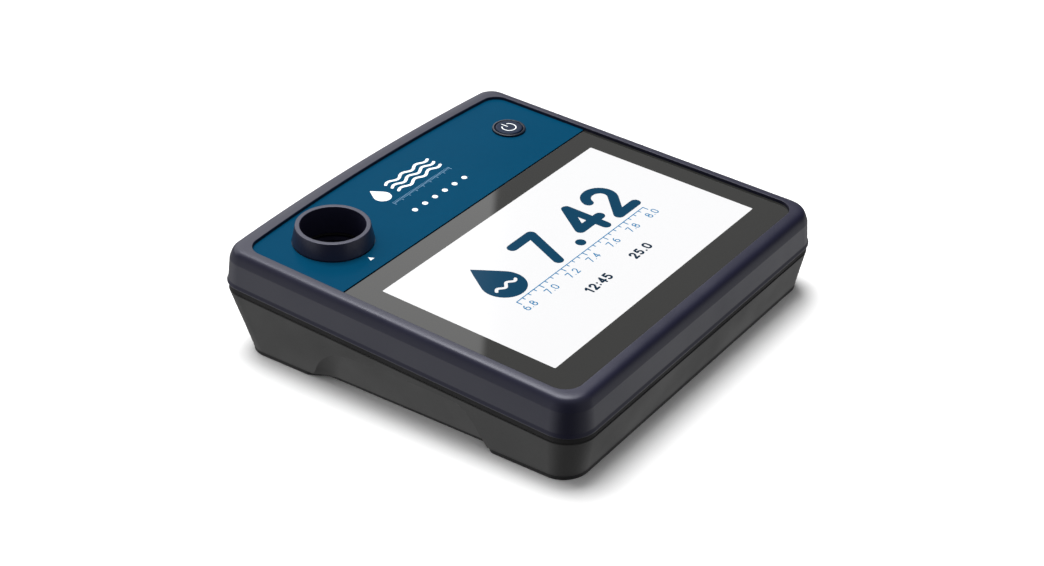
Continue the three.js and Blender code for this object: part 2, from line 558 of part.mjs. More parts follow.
// ---------------------------------------------------------------- boards and connector
{
  let b = box(-60, 60, -77, 19, 25.0, 26.6);
  for (const [x, y] of BOARD_POSTS) b = b.subtract(rod(1.8, 24, 28, x, y, 12));
  piece(body, 'main_board', b, board);
  BOARD_POSTS.forEach(([x, y], i) =>
    piece(body, `board_screw_${i + 1}`, flipped(screwSolid(2.8, 1.5, 1.2, 8)), steel, [x, y, 26.6 + GAP]));
}
piece(body, 'processor', box(-9, 9, -38, -20, 26.9, 28.4), chip);
piece(body, 'radio_module', box(-52, -34, -12, 8, 26.9, 28.6), steel);
{
  // flat cable: leaves the back of the display, folds and lands on the main board
  const under = (y) => DECK_Z + (y - DECK_Y) * Math.sin(TILT) + MODULE_BACK;
  const path = [[-46, under(-46) - 0.75], [-34, under(-34) - 0.75], [-30, under(-30) - 1.6], [-29, 30.6],
    [-31, 28.4], [-36, 27.3], [-46, 27.3]];
  const curve = new THREE.CatmullRomCurve3(path.map(([y, z]) => new THREE.Vector3(0, y, z)), false, 'centripetal');
  const pts = curve.getPoints(16);
  const left = [], right = [];
  pts.forEach((q, i) => {
    const a = pts[Math.max(0, i - 1)], b = pts[Math.min(pts.length - 1, i + 1)];
    const t = new THREE.Vector2(b.y - a.y, b.z - a.z).normalize();
    left.push([q.y - t.y * 0.2, q.z + t.x * 0.2]);
    right.unshift([q.y + t.y * 0.2, q.z - t.x * 0.2]);
  });
  const g = plate([...left, ...right], 16, 44);
  // (y, z, x) to (x, y, z)
  g.applyMatrix4(new THREE.Matrix4().set(0, 0, 1, 0, 1, 0, 0, 0, 0, 1, 0, 0, 0, 0, 0, 1));
  piece(body, 'display_ribbon', solid(g), finish(0xc99a3a, 0.45));
}
{
  let b = box(PORT_X - 13, PORT_X + 13, 58.8, 77.4, 11.8, 13.05);
  for (const [x, y] of USB_POSTS) b = b.subtract(rod(1.4, 11, 14, x, y, 12));
  piece(body, 'usb_board', b, board);
  USB_POSTS.forEach(([x, y], i) =>
    piece(body, `usb_board_screw_${i + 1}`, flipped(screwSolid(2.1, 1.3, 0.9, 5)), steel, [x, y, 13.05 + GAP]));
  piece(body, 'usb_socket', cut(
    box(PORT_X - 4.6, PORT_X + 4.6, 71.3, 80.3, PORT_Z - 1.8, PORT_Z + 1.8),
    box(PORT_X - 4.2, PORT_X + 4.2, 73.3, 82, PORT_Z - 1.35, PORT_Z + 1.35)), steel);
}

// Rubber flap over the port, with a plug that fills the pocket's mouth. Its hinge is its top edge.
piece(body, 'port_cover', join(
  wallBox(-12.7, 12.7, -8.0, 8.0, -1.5, 0),
  wallBox(-8.0, 8.0, -3.9, 4.0, -4.0, -1.4)), rubber);

// ---------------------------------------------------------------- case screws
CASE_SCREWS.forEach(([x, y], i) =>
  piece(body, `case_screw_${i + 1}`, screwSolid(2.8, 2.0, 1.4, 18), steel, [x, y, 11.3 - GAP]));

export default tester;
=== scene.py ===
import math

import bmesh
import bpy
from mathutils import Matrix, Vector


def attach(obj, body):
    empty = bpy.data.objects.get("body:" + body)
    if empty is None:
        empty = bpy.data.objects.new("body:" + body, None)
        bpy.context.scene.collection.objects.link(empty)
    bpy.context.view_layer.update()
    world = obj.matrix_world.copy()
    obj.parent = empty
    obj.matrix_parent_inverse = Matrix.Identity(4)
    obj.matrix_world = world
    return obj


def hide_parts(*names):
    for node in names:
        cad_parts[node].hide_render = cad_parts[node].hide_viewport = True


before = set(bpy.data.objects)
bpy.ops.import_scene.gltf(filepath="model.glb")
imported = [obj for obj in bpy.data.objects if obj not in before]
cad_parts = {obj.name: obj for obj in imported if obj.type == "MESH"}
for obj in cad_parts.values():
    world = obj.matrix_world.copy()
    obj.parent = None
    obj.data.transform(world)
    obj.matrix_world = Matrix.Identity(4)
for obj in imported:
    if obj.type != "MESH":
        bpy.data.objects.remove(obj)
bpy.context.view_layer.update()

# ---------------------------------------------------------------- dimensions (mm), as in the CAD
TILT = math.radians(3.11)
DECK_Y, DECK_Z = -0.84, 43.71
ORIGIN_Y = 1.55
HALF, REAR, REAR_BOW, R_FRONT, R_REAR = 95.8, 92.7, 0.00042, 12.5, 10.0
H_RIM, H_CREASE, H_BAND, H_SEAM = 1.45, -3.96, -15.48, -18.6
DRAFT, LIP, WALL, SHOULDER_W, SHOULDER_N = 1.2, 0.45, 2.5, 7.0, 2.7
RECESS_X, RECESS_FRONT, RECESS_REAR, RECESS_BOW, RECESS_RF, RECESS_RR = 89.1, -88.0, 84.15, 0.00047, 8.5, 8.0
SPLIT_V, DECK_UNDER = 27.2, -4.3
SCREEN_U, SCREEN_V0, SCREEN_V1 = 77.05, -72.63, 15.21
GLASS_T, OVERLAY_T = 1.8, 0.5
WELL_U, WELL_V, BORE_R, COLLAR_TOP_R, COLLAR_BASE_R, COLLAR_H, CHAMBER_R = -59.4, 56.8, 14.3, 16.4, 17.9, 8.0, 13.0
BUTTON_U, BUTTON_V, BEZEL_R, CAP_R = 67.2, 55.6, 7.95, 6.45
BASE_Z, BASE_X, BASE_FRONT, BASE_REAR, BASE_RF, BASE_RR = 2.0, 94.5, -93.1, 82.5, 12.0, 12.0
GRIP_FRONT, GRIP_REAR, GRIP_TOP, GRIP_DEPTH = -53.0, 44.5, 20.6, 4.2
BAY_X, BAY_Y, DOOR_X, DOOR_Y = 37.5, (-60.4, -20.4), 49.0, (-66.4, -14.4)
PORT_X, PORT_Z = 34.0, 15.5
CASE_SCREWS = [(-82, -83.5), (82, -83.5), (-82, 72.5), (82, 72.5)]

MM = Matrix.Scale(0.001, 4) @ Matrix.Translation((0, ORIGIN_Y, 0))
DECK = Matrix.Translation((0, DECK_Y, DECK_Z)) @ Matrix.Rotation(TILT, 4, 'X')


def deck_pt(u, v, h):
    return DECK @ Vector((u, v, h))


# ---------------------------------------------------------------- materials
def new_mat(name):
    m = bpy.data.materials.new(name)
    m.use_nodes = True
    nt = m.node_tree
    return m, nt, nt.nodes["Principled BSDF"]


def node(nt, kind, **values):
    n = nt.nodes.new(kind)
    for k, v in values.items():
        setattr(n, k, v)
    return n


def plastic(name, color, rough, grain=0.00022, bump=0.25, mottle=0.10, rough_var=0.06, spec=0.5,
            coat=0.0, coat_rough=0.1, stretch=(1, 1, 1), tint_spec=None):
    """Moulded plastic: spark-eroded grain in the bump, slow mottle in the colour, uneven gloss."""
    m, nt, b = new_mat(name)
    L = nt.links.new
    co = node(nt, "ShaderNodeTexCoord")
    mp = node(nt, "ShaderNodeMapping")
    mp.inputs["Scale"].default_value = stretch
    L(co.outputs["Object"], mp.inputs["Vector"])
    slow = node(nt, "ShaderNodeTexNoise")
    slow.inputs["Scale"].default_value = 38
    slow.inputs["Detail"].default_value = 5
    L(mp.outputs["Vector"], slow.inputs["Vector"])
    fine = node(nt, "ShaderNodeTexNoise")
    fine.inputs["Scale"].default_value = 1.0 / grain / 6
    fine.inputs["Detail"].default_value = 3
    fine.inputs["Roughness"].default_value = 0.65
    L(mp.outputs["Vector"], fine.inputs["Vector"])
    cell = node(nt, "ShaderNodeTexVoronoi")
    cell.inputs["Scale"].default_value = 1.0 / grain / 4
    L(mp.outputs["Vector"], cell.inputs["Vector"])
    ramp = node(nt, "ShaderNodeMapRange")
    ramp.inputs["From Min"].default_value = 0.3
    ramp.inputs["From Max"].default_value = 0.7
    ramp.inputs["To Min"].default_value = 1.0 - mottle
    ramp.inputs["To Max"].default_value = 1.0 + mottle
    L(slow.outputs["Fac"], ramp.inputs["Value"])
    speck = node(nt, "ShaderNodeMapRange")
    speck.inputs["From Min"].default_value = 0.35
    speck.inputs["From Max"].default_value = 0.7
    speck.inputs["To Min"].default_value = 1.0 - mottle * 0.7
    speck.inputs["To Max"].default_value = 1.0 + mottle * 0.7
    L(fine.outputs["Fac"], speck.inputs["Value"])
    mul = node(nt, "ShaderNodeMath", operation="MULTIPLY")
    L(ramp.outputs["Result"], mul.inputs[0])
    L(speck.outputs["Result"], mul.inputs[1])
    tint = node(nt, "ShaderNodeVectorMath", operation="SCALE")
    tint.inputs[0].default_value = color
    L(mul.outputs["Value"], tint.inputs["Scale"])
    L(tint.outputs["Vector"], b.inputs["Base Color"])
    rr = node(nt, "ShaderNodeMapRange")
    rr.inputs["From Min"].default_value = 0.3
    rr.inputs["From Max"].default_value = 0.7
    rr.inputs["To Min"].default_value = rough - rough_var
    rr.inputs["To Max"].default_value = rough + rough_var
    L(slow.outputs["Fac"], rr.inputs["Value"])
    L(rr.outputs["Result"], b.inputs["Roughness"])
    add = node(nt, "ShaderNodeMath", operation="ADD")
    L(fine.outputs["Fac"], add.inputs[0])
    L(cell.outputs["Distance"], add.inputs[1])
    bp = node(nt, "ShaderNodeBump")
    bp.inputs["Strength"].default_value = bump
    bp.inputs["Distance"].default_value = 0.00004
    L(add.outputs["Value"], bp.inputs["Height"])
    L(bp.outputs["Normal"], b.inputs["Normal"])
    b.inputs["Specular IOR Level"].default_value = spec
    if tint_spec:
        b.inputs["Specular Tint"].default_value = (*tint_spec, 1)
    if coat:
        b.inputs["Coat Weight"].default_value = coat
        b.inputs["Coat Roughness"].default_value = coat_rough
    return m


def metal(name, color, rough, brush=(1, 1, 60)):
    m, nt, b = new_mat(name)
    L = nt.links.new
    co = node(nt, "ShaderNodeTexCoord")
    mp = node(nt, "ShaderNodeMapping")
    mp.inputs["Scale"].default_value = brush
    L(co.outputs["Object"], mp.inputs["Vector"])
    n = node(nt, "ShaderNodeTexNoise")
    n.inputs["Scale"].default_value = 900
    n.inputs["Detail"].default_value = 4
    L(mp.outputs["Vector"], n.inputs["Vector"])
    r = node(nt, "ShaderNodeMapRange")
    r.inputs["To Min"].default_value = rough * 0.7
    r.inputs["To Max"].default_value = rough * 1.4
    L(n.outputs["Fac"], r.inputs["Value"])
    L(r.outputs["Result"], b.inputs["Roughness"])
    c = node(nt, "ShaderNodeMapRange")
    c.inputs["To Min"].default_value = 0.86
    c.inputs["To Max"].default_value = 1.08
    L(n.outputs["Fac"], c.inputs["Value"])
    t = node(nt, "ShaderNodeVectorMath", operation="SCALE")
    t.inputs[0].default_value = color
    L(c.outputs["Result"], t.inputs["Scale"])
    L(t.outputs["Vector"], b.inputs["Base Color"])
    bp = node(nt, "ShaderNodeBump")
    bp.inputs["Strength"].default_value = 0.15
    bp.inputs["Distance"].default_value = 0.00002
    L(n.outputs["Fac"], bp.inputs["Height"])
    L(bp.outputs["Normal"], b.inputs["Normal"])
    b.inputs["Metallic"].default_value = 1.0
    return m


def screen_mat(name, color, strength, dim=0.02, spec=0.35):
    """Lit display under glass: a fine sub-pixel grid and a slight fall-off, with the glass's gloss."""
    m, nt, b = new_mat(name)
    L = nt.links.new
    co = node(nt, "ShaderNodeTexCoord")
    w = node(nt, "ShaderNodeTexNoise")
    w.inputs["Scale"].default_value = 9
    w.inputs["Detail"].default_value = 2
    L(co.outputs["Object"], w.inputs["Vector"])
    g = node(nt, "ShaderNodeTexWave", wave_type="BANDS", bands_direction="X")
    g.inputs["Scale"].default_value = 1100
    g.inputs["Distortion"].default_value = 0.0
    L(co.outputs["Object"], g.inputs["Vector"])
    mr = node(nt, "ShaderNodeMapRange")
    mr.inputs["To Min"].default_value = 1.0 - dim
    mr.inputs["To Max"].default_value = 1.0
    L(w.outputs["Fac"], mr.inputs["Value"])
    mg = node(nt, "ShaderNodeMapRange")
    mg.inputs["To Min"].default_value = 0.985
    mg.inputs["To Max"].default_value = 1.0
    L(g.outputs["Fac"], mg.inputs["Value"])
    mu = node(nt, "ShaderNodeMath", operation="MULTIPLY")
    L(mr.outputs["Result"], mu.inputs[0])
    L(mg.outputs["Result"], mu.inputs[1])
    t = node(nt, "ShaderNodeVectorMath", operation="SCALE")
    t.inputs[0].default_value = color
    L(mu.outputs["Value"], t.inputs["Scale"])
    L(t.outputs["Vector"], b.inputs["Emission Color"])
    under = node(nt, "ShaderNodeVectorMath", operation="SCALE")
    L(t.outputs["Vector"], under.inputs[0])
    under.inputs["Scale"].default_value = 0.30
    L(under.outputs["Vector"], b.inputs["Base Color"])
    b.inputs["Emission Strength"].default_value = strength
    b.inputs["Roughness"].default_value = 0.10
    b.inputs["Specular IOR Level"].default_value = spec
    return m


def clear_mat(name, color, rough=0.03):
    m, nt, b = new_mat(name)
    L = nt.links.new
    co = node(nt, "ShaderNodeTexCoord")
    n = node(nt, "ShaderNodeTexNoise")
    n.inputs["Scale"].default_value = 300
    L(co.outputs["Object"], n.inputs["Vector"])
    r = node(nt, "ShaderNodeMapRange")
    r.inputs["To Min"].default_value = rough * 0.6
    r.inputs["To Max"].default_value = rough * 1.6
    L(n.outputs["Fac"], r.inputs["Value"])
    L(r.outputs["Result"], b.inputs["Roughness"])
    b.inputs["Base Color"].default_value = (*color, 1)
    b.inputs["Transmission Weight"].default_value = 0.9
    b.inputs["IOR"].default_value = 1.5
    return m


def board_mat(name):
    m, nt, b = new_mat(name)
    L = nt.links.new
    co = node(nt, "ShaderNodeTexCoord")
    br = node(nt, "ShaderNodeTexBrick")
    br.inputs["Scale"].default_value = 110
    br.inputs["Color1"].default_value = (0.010, 0.075, 0.032, 1)
    br.inputs["Color2"].default_value = (0.013, 0.09, 0.04, 1)
    br.inputs["Mortar"].default_value = (0.03, 0.16, 0.07, 1)
    br.inputs["Mortar Size"].default_value = 0.03
    L(co.outputs["Object"], br.inputs["Vector"])
    L(br.outputs["Color"], b.inputs["Base Color"])
    bp = node(nt, "ShaderNodeBump")
    bp.inputs["Strength"].default_value = 0.3
    bp.inputs["Distance"].default_value = 0.00003
    L(br.outputs["Fac"], bp.inputs["Height"])
    L(bp.outputs["Normal"], b.inputs["Normal"])
    b.inputs["Roughness"].default_value = 0.38
    return m


NAVY = plastic("navy_satin", (0.0100, 0.0100, 0.0260), 0.36, bump=0.16, mottle=0.06, rough_var=0.04, spec=0.42, tint_spec=(0.90, 0.91, 1.0))
COLLAR = plastic("collar_satin", (0.0135, 0.0135, 0.0330), 0.38, bump=0.12, mottle=0.05, rough_var=0.04, spec=0.60, tint_spec=(0.88, 0.90, 1.0))
GREY = plastic("grey_satin", (0.030, 0.030, 0.030), 0.52, bump=0.30, mottle=0.07, spec=0.34)
RUBBER = plastic("black_rubber", (0.010, 0.010, 0.011), 0.72, grain=0.0003, bump=0.35, mottle=0.12, spec=0.3)
BLUE = plastic("blue_overlay", (0.0014, 0.046, 0.099), 0.22, grain=0.0006, bump=0.0, mottle=0.02, rough_var=0.02, spec=0.008, tint_spec=(0.05, 0.60, 1.0))
GLASS = plastic("black_glass", (0.019, 0.019, 0.018), 0.025, grain=0.0006, bump=0.0, mottle=0.015, rough_var=0.008, spec=0.5)
BLACK = plastic("chamber_black", (0.0065, 0.0065, 0.017), 0.60, bump=0.2, mottle=0.1, spec=0.06)
CAP = plastic("button_cap", (0.004, 0.012, 0.034), 0.36, grain=0.00014, bump=0.10, mottle=0.05, spec=0.12)
BEZEL = plastic("button_bezel", (0.005, 0.008, 0.020), 0.24, grain=0.00014, bump=0.08, mottle=0.05, rough_var=0.03, spec=0.34)
WHITE_INK = plastic("white_ink", (0.85, 0.88, 0.90), 0.42, grain=0.00012, bump=0.08, mottle=0.02, spec=0.1)
PALE_INK = plastic("pale_ink", (0.16, 0.30, 0.44), 0.42, grain=0.00012, bump=0.08, mottle=0.02, spec=0.1)
STEEL = metal("plated_steel", (0.55, 0.56, 0.58), 0.28)
DARK_STEEL = metal("blackened_steel", (0.10, 0.10, 0.105), 0.34)
NICKEL = metal("nickel_shell", (0.62, 0.60, 0.56), 0.22)
BOARD = board_mat("solder_mask")
CHIP = plastic("moulded_chip", (0.018, 0.018, 0.02), 0.5, mottle=0.15)
CELL = plastic("cell_sleeve", (0.03, 0.16, 0.34), 0.32, mottle=0.04, bump=0.05)
FILM = plastic("flat_cable_film", (0.42, 0.24, 0.045), 0.3, mottle=0.06, stretch=(8, 1, 1))
CLEAR = clear_mat("optical_glass", (0.92, 0.96, 0.98))
LENS = clear_mat("epoxy_lens", (0.95, 0.93, 0.86), 0.08)
SCREEN = screen_mat("lit_screen", (0.99, 0.99, 1.0), 0.505)
UI_TEAL = screen_mat("screen_teal", (0.002, 0.062, 0.135), 0.45, 0.05, 0.06)
UI_SKY = screen_mat("screen_sky", (0.03, 0.27, 0.55), 0.45, 0.05, 0.06)
UI_INK = screen_mat("screen_ink", (0.006, 0.030, 0.065), 0.45, 0.05, 0.06)

# ---------------------------------------------------------------- mesh helpers
def mesh_of(name, verts, faces):
    me = bpy.data.meshes.new(name)
    me.from_pydata([tuple(v) for v in verts], [], faces)
    me.validate()
    bm = bmesh.new()
    bm.from_mesh(me)
    bmesh.ops.recalc_face_normals(bm, faces=bm.faces)
    bm.to_mesh(me)
    bm.free()
    return me


def temp(me):
    o = bpy.data.objects.new("cutter", me)
    bpy.context.scene.collection.objects.link(o)
    return o


def transformed(me, matrix):
    me.transform(matrix)
    return me


def boolean(base, ops):
    """base mesh with a list of (operation, mesh) applied in order."""
    o = temp(base)
    used = []
    for op, me in ops:
        c = temp(me)
        used.append(c)
        m = o.modifiers.new("b", "BOOLEAN")
        m.operation = op
        m.solver = "MANIFOLD"
        m.object = c
    bpy.context.view_layer.update()
    dg = bpy.context.evaluated_depsgraph_get()
    out = bpy.data.meshes.new_from_object(o.evaluated_get(dg))
    for x in used + [o]:
        bpy.data.objects.remove(x)
    return out


def tidy(me, dist=0.004):
    bm = bmesh.new()
    bm.from_mesh(me)
    bmesh.ops.remove_doubles(bm, verts=bm.verts, dist=dist)
    bmesh.ops.dissolve_degenerate(bm, edges=bm.edges, dist=dist)
    bm.to_mesh(me)
    bm.free()
    return me


def place(name, me, mat, body="case", deck=False, at=(0, 0, 0), angle=28, replaces=(), weighted=True):
    m = MM @ (DECK if deck else Matrix.Identity(4)) @ Matrix.Translation(at)
    me.transform(m)
    me.materials.clear()
    me.materials.append(mat)
    me.shade_smooth()
    me.set_sharp_from_angle(angle=math.radians(angle))
    me.name = name
    o = bpy.data.objects.new(name, me)
    bpy.context.scene.collection.objects.link(o)
    if weighted:
        w = o.modifiers.new("weighted", "WEIGHTED_NORMAL")
        w.keep_sharp = True
        w.weight = 80
    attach(o, body)
    if replaces:
        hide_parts(*replaces)
    return o


def round_rect(hx, yf, yr, rf, rr, seg=20, ns=1):
    """Rounded rectangle, counter-clockwise from the front right corner; ns splits of each straight side."""
    pts = []
    arcs = [(hx - rf, yf + rf, rf, -90), (hx - rr, yr - rr, rr, 0), (-hx + rr, yr - rr, rr, 90), (-hx + rf, yf + rf, rf, 180)]
    groups = []
    for cx, cy, r, a0 in arcs:
        groups.append([(cx + r * math.cos(math.radians(a0 + 90 * i / seg)), cy + r * math.sin(math.radians(a0 + 90 * i / seg)))
                       for i in range(seg + 1)])
    for k, g in enumerate(groups):
        pts += g
        a, b = g[-1], groups[(k + 1) % 4][0]
        for i in range(1, ns):
            t = i / ns
            pts.append((a[0] + (b[0] - a[0]) * t, a[1] + (b[1] - a[1]) * t))
    return pts


def bowed_rect(hx, yf, yr, rf, rr, bow, seg=20, ns=1, nr=24):
    """Rounded rectangle whose rear side is bowed, y = yr - bow x^2, and split into nr."""
    def arc(cx, cy, r, a0, a1):
        return [(cx + r * math.cos(a0 + (a1 - a0) * i / seg), cy + r * math.sin(a0 + (a1 - a0) * i / seg)) for i in range(seg + 1)]

    def between(a, b):
        return [(a[0] + (b[0] - a[0]) * i / ns, a[1] + (b[1] - a[1]) * i / ns) for i in range(1, ns)]
    lean = math.atan(2 * bow * (hx - rr))
    xt = hx - rr + rr * math.sin(lean)
    yc = yr - bow * xt * xt - rr * math.cos(lean)
    fr = arc(hx - rf, yf + rf, rf, -math.pi / 2, 0)
    rrt = arc(hx - rr, yc, rr, 0, math.pi / 2 - lean)
    rear = [(xt * (1 - 2 * i / nr), yr - bow * (xt * (1 - 2 * i / nr)) ** 2) for i in range(1, nr)]
    rl = [(-x, y) for x, y in reversed(rrt)]
    fl = [(-x, y) for x, y in reversed(fr)]
    return fr + between(fr[-1], rrt[0]) + rrt + rear + rl + between(rl[-1], fl[0]) + fl + between(fl[-1], fr[0])


def case_outline(off, seg=20, ns=1):
    return bowed_rect(HALF + off, -HALF - off, REAR + off, R_FRONT + off, R_REAR + off, REAR_BOW, seg, ns)


def at_h(outline, h):
    return [(x, y, h) for x, y in outline]


def loft(rings, closed=False, caps=True, name="loft"):
    n = len(rings[0])
    verts = [p for r in rings for p in r]
    faces = []
    K = len(rings)
    for k in range(K if closed else K - 1):
        for i in range(n):
            a, b = k * n + i, k * n + (i + 1) % n
            c, d = ((k + 1) % K) * n + i, ((k + 1) % K) * n + (i + 1) % n
            faces.append((a, b, d, c))
    if caps and not closed:
        faces.append(tuple(reversed(range(n))))
        faces.append(tuple((K - 1) * n + i for i in range(n)))
    return mesh_of(name, verts, faces)


def fillet(points, seg=5):
    """2D polyline corners (x, y, radius) rounded into arcs; closed profile."""
    out = []
    n = len(points)
    for i, p in enumerate(points):
        r = p[2] if len(p) > 2 else 0
        P = Vector(p[:2])
        if r <= 0:
            out.append(tuple(P))
            continue
        A, B = Vector(points[i - 1][:2]), Vector(points[(i + 1) % n][:2])
        d1, d2 = (A - P).normalized(), (B - P).normalized()
        ang = d1.angle(d2)
        t = min(r / math.tan(ang / 2), (A - P).length * 0.49, (B - P).length * 0.49)
        r = t * math.tan(ang / 2)
        c = P + (d1 + d2).normalized() * (r / math.sin(ang / 2))
        s, e = P + d1 * t - c, P + d2 * t - c
        a0, a1 = math.atan2(s.y, s.x), math.atan2(e.y, e.x)
        da = (a1 - a0 + math.pi) % (2 * math.pi) - math.pi
        for k in range(seg + 1):
            a = a0 + da * k / seg
            out.append((c.x + r * math.cos(a), c.y + r * math.sin(a)))
    return out


def lathe(profile, seg=96, name="lathe"):
    """Closed profile of (r, z) turned about Z. Points with r = 0 become poles."""
    verts, faces, rows = [], [], []
    for r, z in profile:
        if r < 1e-6:
            rows.append([len(verts)] * seg)
            verts.append((0, 0, z))
        else:
            rows.append(list(range(len(verts), len(verts) + seg)))
            verts += [(r * math.cos(2 * math.pi * i / seg), r * math.sin(2 * math.pi * i / seg), z) for i in range(seg)]
    n = len(rows)
    closed = not (profile[0][0] < 1e-6 and profile[-1][0] < 1e-6)
    for k in range(n if closed else n - 1):
        A, B = rows[k], rows[(k + 1) % n]
        for i in range(seg):
            j = (i + 1) % seg
            f = []
            for v in (A[i], A[j], B[j], B[i]):
                if v not in f:
                    f.append(v)
            if len(f) >= 3:
                faces.append(tuple(f))
    return mesh_of(name, verts, faces)


def box(x0, x1, y0, y1, z0, z1):
    v = [(x, y, z) for z in (z0, z1) for y in (y0, y1) for x in (x0, x1)]
    return mesh_of("box", v, [(0, 2, 3, 1), (4, 5, 7, 6), (0, 1, 5, 4), (2, 6, 7, 3), (0, 4, 6, 2), (1, 3, 7, 5)])


def cyl(r, z0, z1, x=0, y=0, seg=48):
    me = lathe([(0, z0), (r, z0), (r, z1), (0, z1)], seg)
    me.transform(Matrix.Translation((x, y, 0)))
    return me


def prism(outline, z0, z1, edge=0.0, eseg=3):
    """Outline extruded from z0 to z1, top and bottom edges rounded by edge (convex outlines only)."""
    if edge <= 0:
        return loft([at_h(outline, z0), at_h(outline, z1)])
    n = len(outline)

    def inset(d):
        res = []
        for i in range(n):
            p, a, b = Vector(outline[i]), Vector(outline[i - 1]), Vector(outline[(i + 1) % n])
            t1, t2 = (p - a), (b - p)
            if t1.length < 1e-9:
                t1 = t2
            if t2.length < 1e-9:
                t2 = t1
            n1, n2 = Vector((-t1.y, t1.x)).normalized(), Vector((-t2.y, t2.x)).normalized()
            m = (n1 + n2)
            m = m.normalized() if m.length > 1e-9 else n1
            res.append(tuple(p + m * d / max(0.5, m.dot(n1))))
        return res
    rings = []
    for k in range(eseg + 1):
        a = math.pi / 2 * k / eseg
        rings.append(at_h(inset(edge * (1 - math.sin(a))), z0 + edge * (1 - math.cos(a))))
    for k in range(eseg + 1):
        a = math.pi / 2 * k / eseg
        rings.append(at_h(inset(edge * (1 - math.cos(a))), z1 - edge * (1 - math.sin(a))))
    return loft(rings)


def circle(r, x, y, seg=96):
    return [(x + r * math.cos(2 * math.pi * i / seg), y + r * math.sin(2 * math.pi * i / seg)) for i in range(seg)]


# ---------------------------------------------------------------- upper shell
def shoulder(n=22):
    """Section of the rim's shoulder: leaves the crease leaning in a little, arrives flat at the rim top."""
    lean, a, b = math.radians(20), 4.9, 5.2
    P = [Vector((0, H_CREASE)), Vector((-a * math.sin(lean), H_CREASE + a * math.cos(lean))),
         Vector((b - SHOULDER_W, H_RIM)), Vector((-SHOULDER_W, H_RIM))]
    out = []
    for i in range(n + 1):
        t = i / n
        q = P[0] * (1 - t) ** 3 + P[1] * 3 * t * (1 - t) ** 2 + P[2] * 3 * t * t * (1 - t) + P[3] * t ** 3
        out.append((q.x, q.y))
    return out


def flared(outline_fn, z0, z_edge, r, seg=5, top=6.0):
    """Cutter whose top edge flares out by r, so that the cut has a rounded edge at z_edge."""
    rings = [at_h(outline_fn(0), z0)]
    for k in range(seg + 1):
        a = math.pi / 2 * k / seg
        rings.append(at_h(outline_fn(r * (1 - math.cos(a))), z_edge - r + r * math.sin(a)))
    rings.append(at_h(outline_fn(r), top))
    return loft(rings)


outer_profile = fillet([
    (-40, H_BAND), (DRAFT + LIP, H_BAND, 0.30), (DRAFT + LIP, H_BAND + 0.45, 0.6), (DRAFT - 0.16, H_BAND + 1.8, 1.2),
    (0.0, H_CREASE), (-40, H_CREASE)], 4)[1:-1]
rings = [at_h(case_outline(o, 24, 6), h) for o, h in outer_profile]
# the crease is a tight round, not a knife edge
sh = shoulder()
rings = rings[:-1] + [at_h(case_outline(0.012, 24, 6), H_CREASE - 0.12), at_h(case_outline(-0.02, 24, 6), H_CREASE + 0.02)]
rings += [at_h(case_outline(o, 24, 6), h) for o, h in sh[1:]]
outer = loft(rings)
cavity = loft([at_h(case_outline(DRAFT - WALL, 12), H_BAND - 1), at_h(case_outline(-WALL, 12), -6.0),
               at_h(case_outline(-WALL - 1.6, 12), DECK_UNDER)])


def recess_outline(d, seg=20):
    return bowed_rect(RECESS_X + d, RECESS_FRONT - d, RECESS_REAR + d, RECESS_RF + d, RECESS_RR + d, RECESS_BOW, seg)


recess = flared(lambda d: recess_outline(d, 24), -0.8, H_RIM + 0.02, 0.30)
glass_bed = prism(round_rect(RECESS_X, RECESS_FRONT, SPLIT_V, RECESS_RF, 0.4, 24), -GLASS_T - 0.3, 1.0)
ops = [("DIFFERENCE", cavity), ("DIFFERENCE", recess), ("DIFFERENCE", glass_bed),
       ("DIFFERENCE", box(-82.9, 82.9, -79.2, 21.8, -6, 0)),
       ("DIFFERENCE", cyl(16.4, -6, 1, WELL_U, WELL_V, 96)),
       ("DIFFERENCE", cyl(CAP_R + 0.35, -6, 1, BUTTON_U, BUTTON_V, 64))]
for u, v in [(-87.3, -60), (87.3, -60), (-87.3, 6), (87.3, 6)]:
    ops += [("UNION", cyl(2.6, -7.8, DECK_UNDER + 0.2, u, v, 32)), ("DIFFERENCE", cyl(1.5, -8.5, -5.0, u, v, 24))]
for s in (-1, 1):
    ops += [("UNION", cyl(3.0, -7.0, DECK_UNDER + 0.2, WELL_U + s * 21.5, WELL_V, 32)),
            ("DIFFERENCE", cyl(1.5, -8, -5.0, WELL_U + s * 21.5, WELL_V, 24)),
            ("UNION", cyl(2.0, -11.1, DECK_UNDER + 0.2, BUTTON_U + s * 10.6, BUTTON_V, 32)),
            ("DIFFERENCE", cyl(1.2, -12, -6.0, BUTTON_U + s * 10.6, BUTTON_V, 24))]
for x, y in CASE_SCREWS:
    top = DECK_Z + (y - DECK_Y) * math.sin(TILT) + DECK_UNDER + 0.1
    ops += [("UNION", transformed(cyl(3.4, 20.3, top, x, y, 32), DECK.inverted())),
            ("DIFFERENCE", transformed(cyl(1.7, 19, 31, x, y, 24), DECK.inverted()))]
place("upper_shell_fine", boolean(outer, ops), NAVY, deck=True, replaces=("upper_shell",))

# ---------------------------------------------------------------- seam gasket
g = fillet([(DRAFT - 2.4, H_SEAM + 0.04), (DRAFT - 0.28, H_SEAM + 0.04, 0.5), (DRAFT - 0.28, H_BAND - 0.04, 0.5), (DRAFT - 2.4, H_BAND - 0.04)], 5)
place("seam_gasket_fine", loft([at_h(case_outline(o, 24, 6), h) for o, h in g], closed=True), RUBBER, deck=True,
      replaces=("seam_gasket",))

# ---------------------------------------------------------------- lower shell
def base_outline(inset, seg=20, ns=1):
    return bowed_rect(BASE_X - inset, BASE_FRONT + inset, BASE_REAR - inset, BASE_RF - inset, BASE_RR - inset, 0.0, seg, ns)


